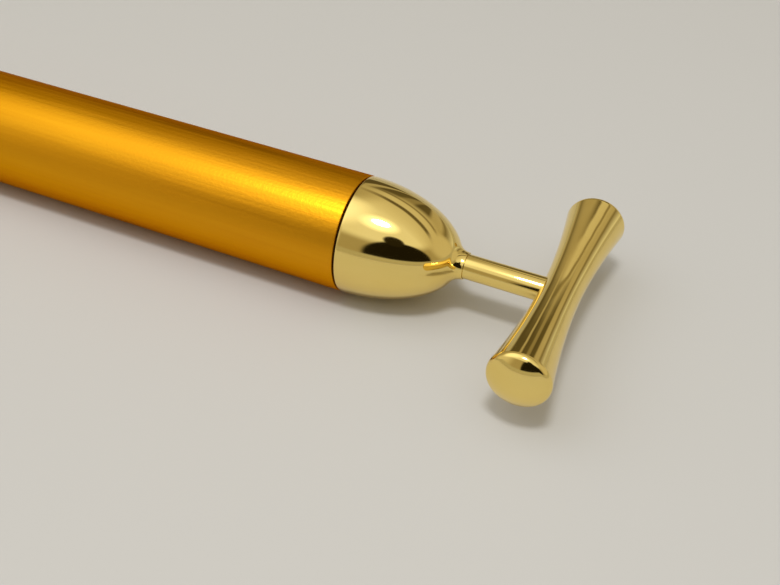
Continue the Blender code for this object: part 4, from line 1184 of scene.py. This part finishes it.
class MASSAGER_OT_armature(bpy.types.Operator):
    """Build the laminated core with its three coils of wire"""

    bl_idname = "massager.armature"
    bl_label = "Armature"

    def execute(self, context):
        motor = context.scene.massager_motor
        start, end = span("armature_core")
        radius = reach("armature_core")
        pitch = (end - start) / motor.lamination_count
        hole = circle((0, 0), SHAFT_RADIUS + PRESS_GAP, PIN_STEPS)
        sheets = []
        for k in range(motor.lamination_count):
            sheet = plate([self.sheet_outline(radius), hole], pitch - motor.lamination_gap)
            sheet.transform(across(start + pitch * (k + 0.5)))
            sheets.append(sheet)
        add_piece("laminated_core", join_work(sheets), Matrix(), "blued_core_steel", "rotor",
                  "core_steel", "armature_core")
        for k in range(POLE_COUNT):
            wire = drawn_wire(self.coil_route(motor, end - start), motor.wire_radius)
            place = beside(0, tau * k / POLE_COUNT, (start + end) / 2)
            add_piece(f"coil_{k + 1}", wire, place, "enamelled_copper", "rotor", "copper_wire",
                      f"winding_{k + 1}")
        return {"FINISHED"}

    def sheet_outline(self, radius):
        """Outline of one sheet: a hub with three T-shaped poles."""
        half_neck, half_shoe = NECK_WIDTH / 2, SHOE_SPAN / 2
        shoe_inner = radius - SHOE_THICKNESS
        hub_angle, neck_angle = asin(half_neck / CORE_HUB), asin(half_neck / shoe_inner)
        outline = []
        for k in range(POLE_COUNT):
            middle = tau * k / POLE_COUNT
            outline += arc((0, 0), shoe_inner, middle - neck_angle, middle - half_shoe,
                           SHOE_END_STEPS)
            outline += arc((0, 0), radius, middle - half_shoe, middle + half_shoe, SECTION_STEPS)
            outline += arc((0, 0), shoe_inner, middle + half_shoe, middle + neck_angle,
                           SHOE_END_STEPS)
            outline += arc((0, 0), CORE_HUB, middle + hub_angle,
                           middle + tau / POLE_COUNT - hub_angle, SECTION_STEPS // 2)
        return outline

    def coil_route(self, motor, core_length):
        """The wire's way round a pole: layers of turns, out along the pole and back again."""
        wire_pitch = 2 * motor.wire_radius
        first = CORE_HUB + WINDING_GAP + motor.wire_radius
        turn_points = 4 * COIL_CORNER
        route = []
        for i in range(COIL_LAYERS * motor.winding_turns * turn_points + 1):
            turns = i / turn_points
            layer = min(COIL_LAYERS - 1, int(turns / motor.winding_turns))
            along = turns - layer * motor.winding_turns
            if layer % 2:
                along = motor.winding_turns - along
            room = WINDING_GAP + motor.wire_radius + wire_pitch * layer
            corner = int(turns * 4) % 4
            angle = tau * (corner + (i % COIL_CORNER) / (COIL_CORNER - 1)) / 4
            side_x = NECK_WIDTH / 2 * (1 if corner in (0, 3) else -1)
            side_y = core_length / 2 * (1 if corner in (0, 1) else -1)
            route.append((side_x + room * cos(angle), side_y + room * sin(angle),
                          first + wire_pitch * along))
        return route


class MASSAGER_OT_shaft_pieces(bpy.types.Operator):
    """Build what sits on the shaft: commutator, washers and the eccentric weight"""

    bl_idname = "massager.shaft_pieces"
    bl_label = "Shaft, Commutator and Weight"

    def execute(self, context):
        shaft = rod(*span("motor_shaft"), SHAFT_RADIUS)
        add_turned("shaft_rod", shaft, PIN_STEPS, "ground_steel", "rotor", "spring_steel",
                   "motor_shaft")

        seat = SHAFT_RADIUS + PRESS_GAP
        for end in ("front", "rear"):
            node = "thrust_washer_" + end
            washer = ring(seat, reach(node), *span(node), FINE_EDGE)
            add_turned("washer_" + end, washer, PIN_STEPS, "moulded_nylon", "rotor",
                       "white_nylon", node)

        low, high = span("commutator_hub")
        hub = ring(seat, COMMUTATOR_HUB, low, high, FINE_EDGE)
        add_turned("commutator_core", hub, PIN_STEPS, "phenolic_moulding", "rotor", "phenolic",
                   "commutator_hub")
        half = SEGMENT_SPAN / 2
        band = arc((0, 0), COMMUTATOR_RADIUS, -half, half, SECTION_STEPS)
        band += arc((0, 0), COMMUTATOR_HUB + PRESS_GAP, half, -half, SECTION_STEPS)
        for k in range(POLE_COUNT):
            turn = tau * (k + 0.5) / POLE_COUNT
            hook = box_work((COMMUTATOR_RADIUS - FINE_EDGE, -HOOK_WIDTH / 2, -HOOK_THICKNESS),
                            (COMMUTATOR_RADIUS + HOOK_HEIGHT, HOOK_WIDTH / 2, 0))
            bmesh.ops.bevel(hook, geom=hook.edges[:], offset=FINE_EDGE, segments=FINE_SEGMENTS,
                            profile=0.5, affect="EDGES", material=-1)
            hook.transform(across(high - FINE_EDGE, turn))
            add_piece(f"commutator_bar_{k + 1}", plate([band], high - low, FINE_EDGE / 2),
                      across((low + high) / 2, turn), "turned_copper", "rotor", "copper_wire",
                      f"commutator_segment_{k + 1}", joined=[hook])

        low, high = span("eccentric_weight")
        outline = arc((0, 0), WEIGHT_RADIUS, -WEIGHT_HALF_SPAN, WEIGHT_HALF_SPAN, BAR_STEPS // 2)
        outline += arc((0, 0), WEIGHT_HUB, pi / 2, 3 * pi / 2, PIN_STEPS // 2)
        hole = circle((0, 0), seat, PIN_STEPS)
        add_piece("half_round_weight", plate([outline, hole], high - low, CELL_EDGE),
                  across((low + high) / 2), "sintered_brass", "rotor", "weight_brass",
                  "eccentric_weight")
        return {"FINISHED"}


# Studio: the floor, the window, and where the parts of the room begin and end, as shares of a
# direction's height or depth
FLOOR_HALF = 4.0
WINDOW_SIZE = (0.12, 0.09)
WINDOW_DISTANCE = 0.6
WINDOW_AZIMUTH, WINDOW_ELEVATION = radians(14), radians(72)
WALL_TOP, CEILING_START = sin(radians(28)), sin(radians(42))
BACK_START, BACK_FULL = 0.42, 0.66
BACKDROP_TOP, ROOM_START = sin(radians(6)), sin(radians(8.5))

# How much green and blue a wall loses as it gets dim
GREEN_LOSS, BLUE_LOSS = 0.22, 0.66

# Azimuth across which the bands of ceiling and back wall lie, and their brightness by the
# angle from overhead towards that side in degrees: pale panels between brown beams
CEILING_TURN, WALL_TURN = radians(149), radians(90)
CEILING_BANDS = (
    (-90, 1.0), (0, 0.98), (8, 0.86), (18, 0.78), (26, 0.72), (28, 0.16), (32, 0.14), (34, 0.74),
    (43, 0.7), (45, 0.3), (47, 0.3), (49, 0.6), (60, 0.5), (90, 0.35),
)
WALL_BANDS = (
    (-90, 0.4), (-76, 0.36), (-70, 0.1), (-38, 0.1), (-34, 0.46), (-29, 0.42), (-25, 0.1),
    (-8, 0.12), (-3, 0.28), (6, 0.28), (11, 0.1), (26, 0.12), (32, 0.45), (48, 0.48), (56, 0.2),
    (90, 0.22),
)

# Patches of the room, each round a direction: azimuth, elevation, where it begins and is full
# in degrees, and its brightness. Side walls, the dark place of the camera and the lit ceiling
PATCHES = (
    (-60, 20, 38, 12, 0.7), (-128, 42, 34, 10, 0.42), (100, 24, 32, 16, 0.62),
    (28, 10, 34, 30, 0.012), (24, 43, 10, 7, 0.02), (8, 70, 17, 4, 1.7), (-75, 55, 34, 6, 1.35),
)


def direction(azimuth, elevation):
    """A unit vector from the massager: azimuth 0 points along -Y and a quarter turn along +X."""
    return Vector((sin(azimuth) * cos(elevation), -cos(azimuth) * cos(elevation), sin(elevation)))


def warm(brightness):
    """The colour of a wall of that brightness, browner as it gets dimmer."""
    warmth = max(0, 1 - brightness)
    return (brightness, brightness * (1 - GREEN_LOSS * warmth),
            brightness * (1 - BLUE_LOSS * warmth), 1)


class MASSAGER_OT_studio(bpy.types.Operator):
    """Build the floor, the soft lights, the surroundings and the camera"""

    bl_idname = "massager.studio"
    bl_label = "Studio"

    def execute(self, context):
        self.add_floor(context)
        self.add_window(context)
        self.add_surroundings(context)
        self.add_camera(context)
        context.scene.view_settings.view_transform = "Standard"
        return {"FINISHED"}

    def add_floor(self, context):
        """A plain pale floor."""
        work = bmesh.new()
        bmesh.ops.create_grid(work, x_segments=1, y_segments=1, size=FLOOR_HALF)
        mesh = as_mesh("floor", work)
        made, tree, shader = new_material("painted_floor", roughness=0.7)
        shader.inputs["Base Color"].default_value = (*context.scene.massager_finish.floor, 1)
        mesh.materials.append(made)
        floor = add_object("floor", mesh)

    def add_window(self, context):
        """The soft window overhead, which makes the highlights and the shadow."""
        towards = direction(WINDOW_AZIMUTH, WINDOW_ELEVATION)
        lamp = bpy.data.lights.new("window", "AREA")
        lamp.shape = "ELLIPSE"
        lamp.size, lamp.size_y = WINDOW_SIZE
        lamp.energy = context.scene.massager_studio.window_power
        window = add_object("window", lamp)
        window.location = Vector((BAR_PLACE / 2, 0, 0)) + towards * WINDOW_DISTANCE
        window.rotation_euler = towards.to_track_quat("Z", "Y").to_euler()

    def add_surroundings(self, context):
        """A ceiling of pale panels, dimmer walls, a dark side and a low backdrop all round."""
        studio = context.scene.massager_studio
        world = bpy.data.worlds.new("studio")
        world.use_nodes = True
        tree = world.node_tree
        place = add_node(tree, "ShaderNodeTexCoord").outputs["Generated"]
        parts = add_node(tree, "ShaderNodeSeparateXYZ", links={0: place})
        level = parts.outputs["Z"]
        ceiling = self.bands(tree, place, level, CEILING_TURN, CEILING_BANDS, studio.ceiling)
        back = self.bands(tree, place, level, WALL_TURN, WALL_BANDS, studio.walls)
        behind = self.rise(tree, parts.outputs["Y"], BACK_START, BACK_FULL)
        walls = self.blend(tree, behind, warm(studio.front), back)
        room = self.blend(tree, self.rise(tree, level, WALL_TOP, CEILING_START), walls, ceiling)
        for azimuth, elevation, edge, heart, brightness in PATCHES:
            share = self.patch(tree, place, azimuth, elevation, edge, heart)
            room = self.blend(tree, share, room, warm(brightness))
        backdrop = (*context.scene.massager_finish.backdrop, 1)
        room = self.blend(tree, self.rise(tree, level, BACKDROP_TOP, ROOM_START), backdrop, room)
        tree.links.new(room, tree.nodes["Background"].inputs["Color"])
        context.scene.world = world

    def blend(self, tree, share, first, second):
        """A colour between two, each of them a plain colour or another node's."""
        plain, linked = {"data_type": "RGBA"}, {0: share}
        for socket, colour in ((6, first), (7, second)):
            (plain if isinstance(colour, tuple) else linked)[socket] = colour
        return add_node(tree, "ShaderNodeMix", plain, linked).outputs[2]

    def rise(self, tree, value, start, full):
        """A share that rises smoothly from 0 at start to 1 at full."""
        share = add_node(tree, "ShaderNodeMapRange",
                         {"interpolation_type": "SMOOTHSTEP", "From Min": start,
                          "From Max": full}, {"Value": value})
        return share.outputs["Result"]

    def patch(self, tree, place, azimuth, elevation, edge, heart):
        """A share that is 1 near a direction and 0 away from it."""
        centre = direction(radians(azimuth), radians(elevation))
        facing = add_node(tree, "ShaderNodeVectorMath", {"operation": "DOT_PRODUCT", 1: centre},
                          {0: place})
        return self.rise(tree, facing.outputs["Value"], cos(radians(edge)), cos(radians(heart)))

    def bands(self, tree, place, level, turn, bands, brightness):
        """Bands by the angle from overhead towards the side that turn gives."""
        side = add_node(tree, "ShaderNodeVectorMath",
                        {"operation": "DOT_PRODUCT", 1: direction(turn, 0)}, {0: place})
        angle = add_node(tree, "ShaderNodeMath", {"operation": "ARCTAN2"},
                         {0: side.outputs["Value"], 1: level})
        share = run_between(tree, angle.outputs["Value"], 0, 1, -pi / 2, pi / 2)
        ramp = add_node(tree, "ShaderNodeValToRGB", links={"Fac": share})
        stops = ramp.color_ramp.elements
        for degrees, strength in bands:
            stops.new(degrees / 180 + 0.5).color = warm(brightness * strength)
        stops.remove(stops[0])
        stops.remove(stops[-1])
        return ramp.outputs["Color"]

    def add_camera(self, context):
        """The camera at the photograph's viewing angle."""
        studio = context.scene.massager_studio
        eye, aim = Vector(studio.eye), Vector(studio.aim)
        back = (eye - aim).normalized()
        right = Vector((0, 0, 1)).cross(back).normalized()
        up = back.cross(right)
        leaning_right = right * cos(studio.roll) + up * sin(studio.roll)
        leaning_up = up * cos(studio.roll) - right * sin(studio.roll)
        lens = bpy.data.cameras.new("camera")
        lens.lens = studio.lens
        lens.clip_start = eye.length / 100
        camera = add_object("camera", lens)
        turn = Matrix((leaning_right, leaning_up, back)).transposed()
        camera.matrix_world = Matrix.Translation(eye) @ turn.to_4x4()
        context.scene.camera = camera


PIECE_OPERATORS = (
    MASSAGER_OT_handle_sleeve, MASSAGER_OT_tail, MASSAGER_OT_spring, MASSAGER_OT_cell,
    MASSAGER_OT_dome, MASSAGER_OT_stem_and_bar, MASSAGER_OT_screw_sleeve,
    MASSAGER_OT_cup_and_button, MASSAGER_OT_motor_case, MASSAGER_OT_leads,
    MASSAGER_OT_armature, MASSAGER_OT_shaft_pieces, MASSAGER_OT_studio,
)
SETTINGS = {
    "massager_handle": MassagerHandle,
    "massager_thread": MassagerThread,
    "massager_head": MassagerHead,
    "massager_motor": MassagerMotor,
    "massager_finish": MassagerFinish,
    "massager_studio": MassagerStudio,
}


class MASSAGER_PT_panel(bpy.types.Panel):
    """The massager's sizes, colours and operators"""

    bl_idname = "MASSAGER_PT_panel"
    bl_label = "T-bar Massager"
    bl_space_type = "VIEW_3D"
    bl_region_type = "UI"
    bl_category = "Massager"

    def draw(self, context):
        for attribute in SETTINGS:
            group = getattr(context.scene, attribute)
            box = self.layout.box()
            for name in group.bl_rna.properties.keys():
                if name not in ("rna_type", "name"):
                    box.prop(group, name)
        for operator in PIECE_OPERATORS:
            self.layout.operator(operator.bl_idname)


def register():
    """Register the settings, the operators and the panel."""
    for attribute, group in SETTINGS.items():
        bpy.utils.register_class(group)
        setattr(bpy.types.Scene, attribute, PointerProperty(type=group))
    for operator in PIECE_OPERATORS:
        bpy.utils.register_class(operator)
    bpy.utils.register_class(MASSAGER_PT_panel)


def unregister():
    """Undo what register did."""
    bpy.utils.unregister_class(MASSAGER_PT_panel)
    for operator in reversed(PIECE_OPERATORS):
        bpy.utils.unregister_class(operator)
    for attribute, group in SETTINGS.items():
        delattr(bpy.types.Scene, attribute)
        bpy.utils.unregister_class(group)


def main():
    """Build everything."""
    register()
    for operator in PIECE_OPERATORS:
        getattr(bpy.ops.massager, operator.bl_idname.split(".")[1])()


if __name__ == "__main__":
    main()
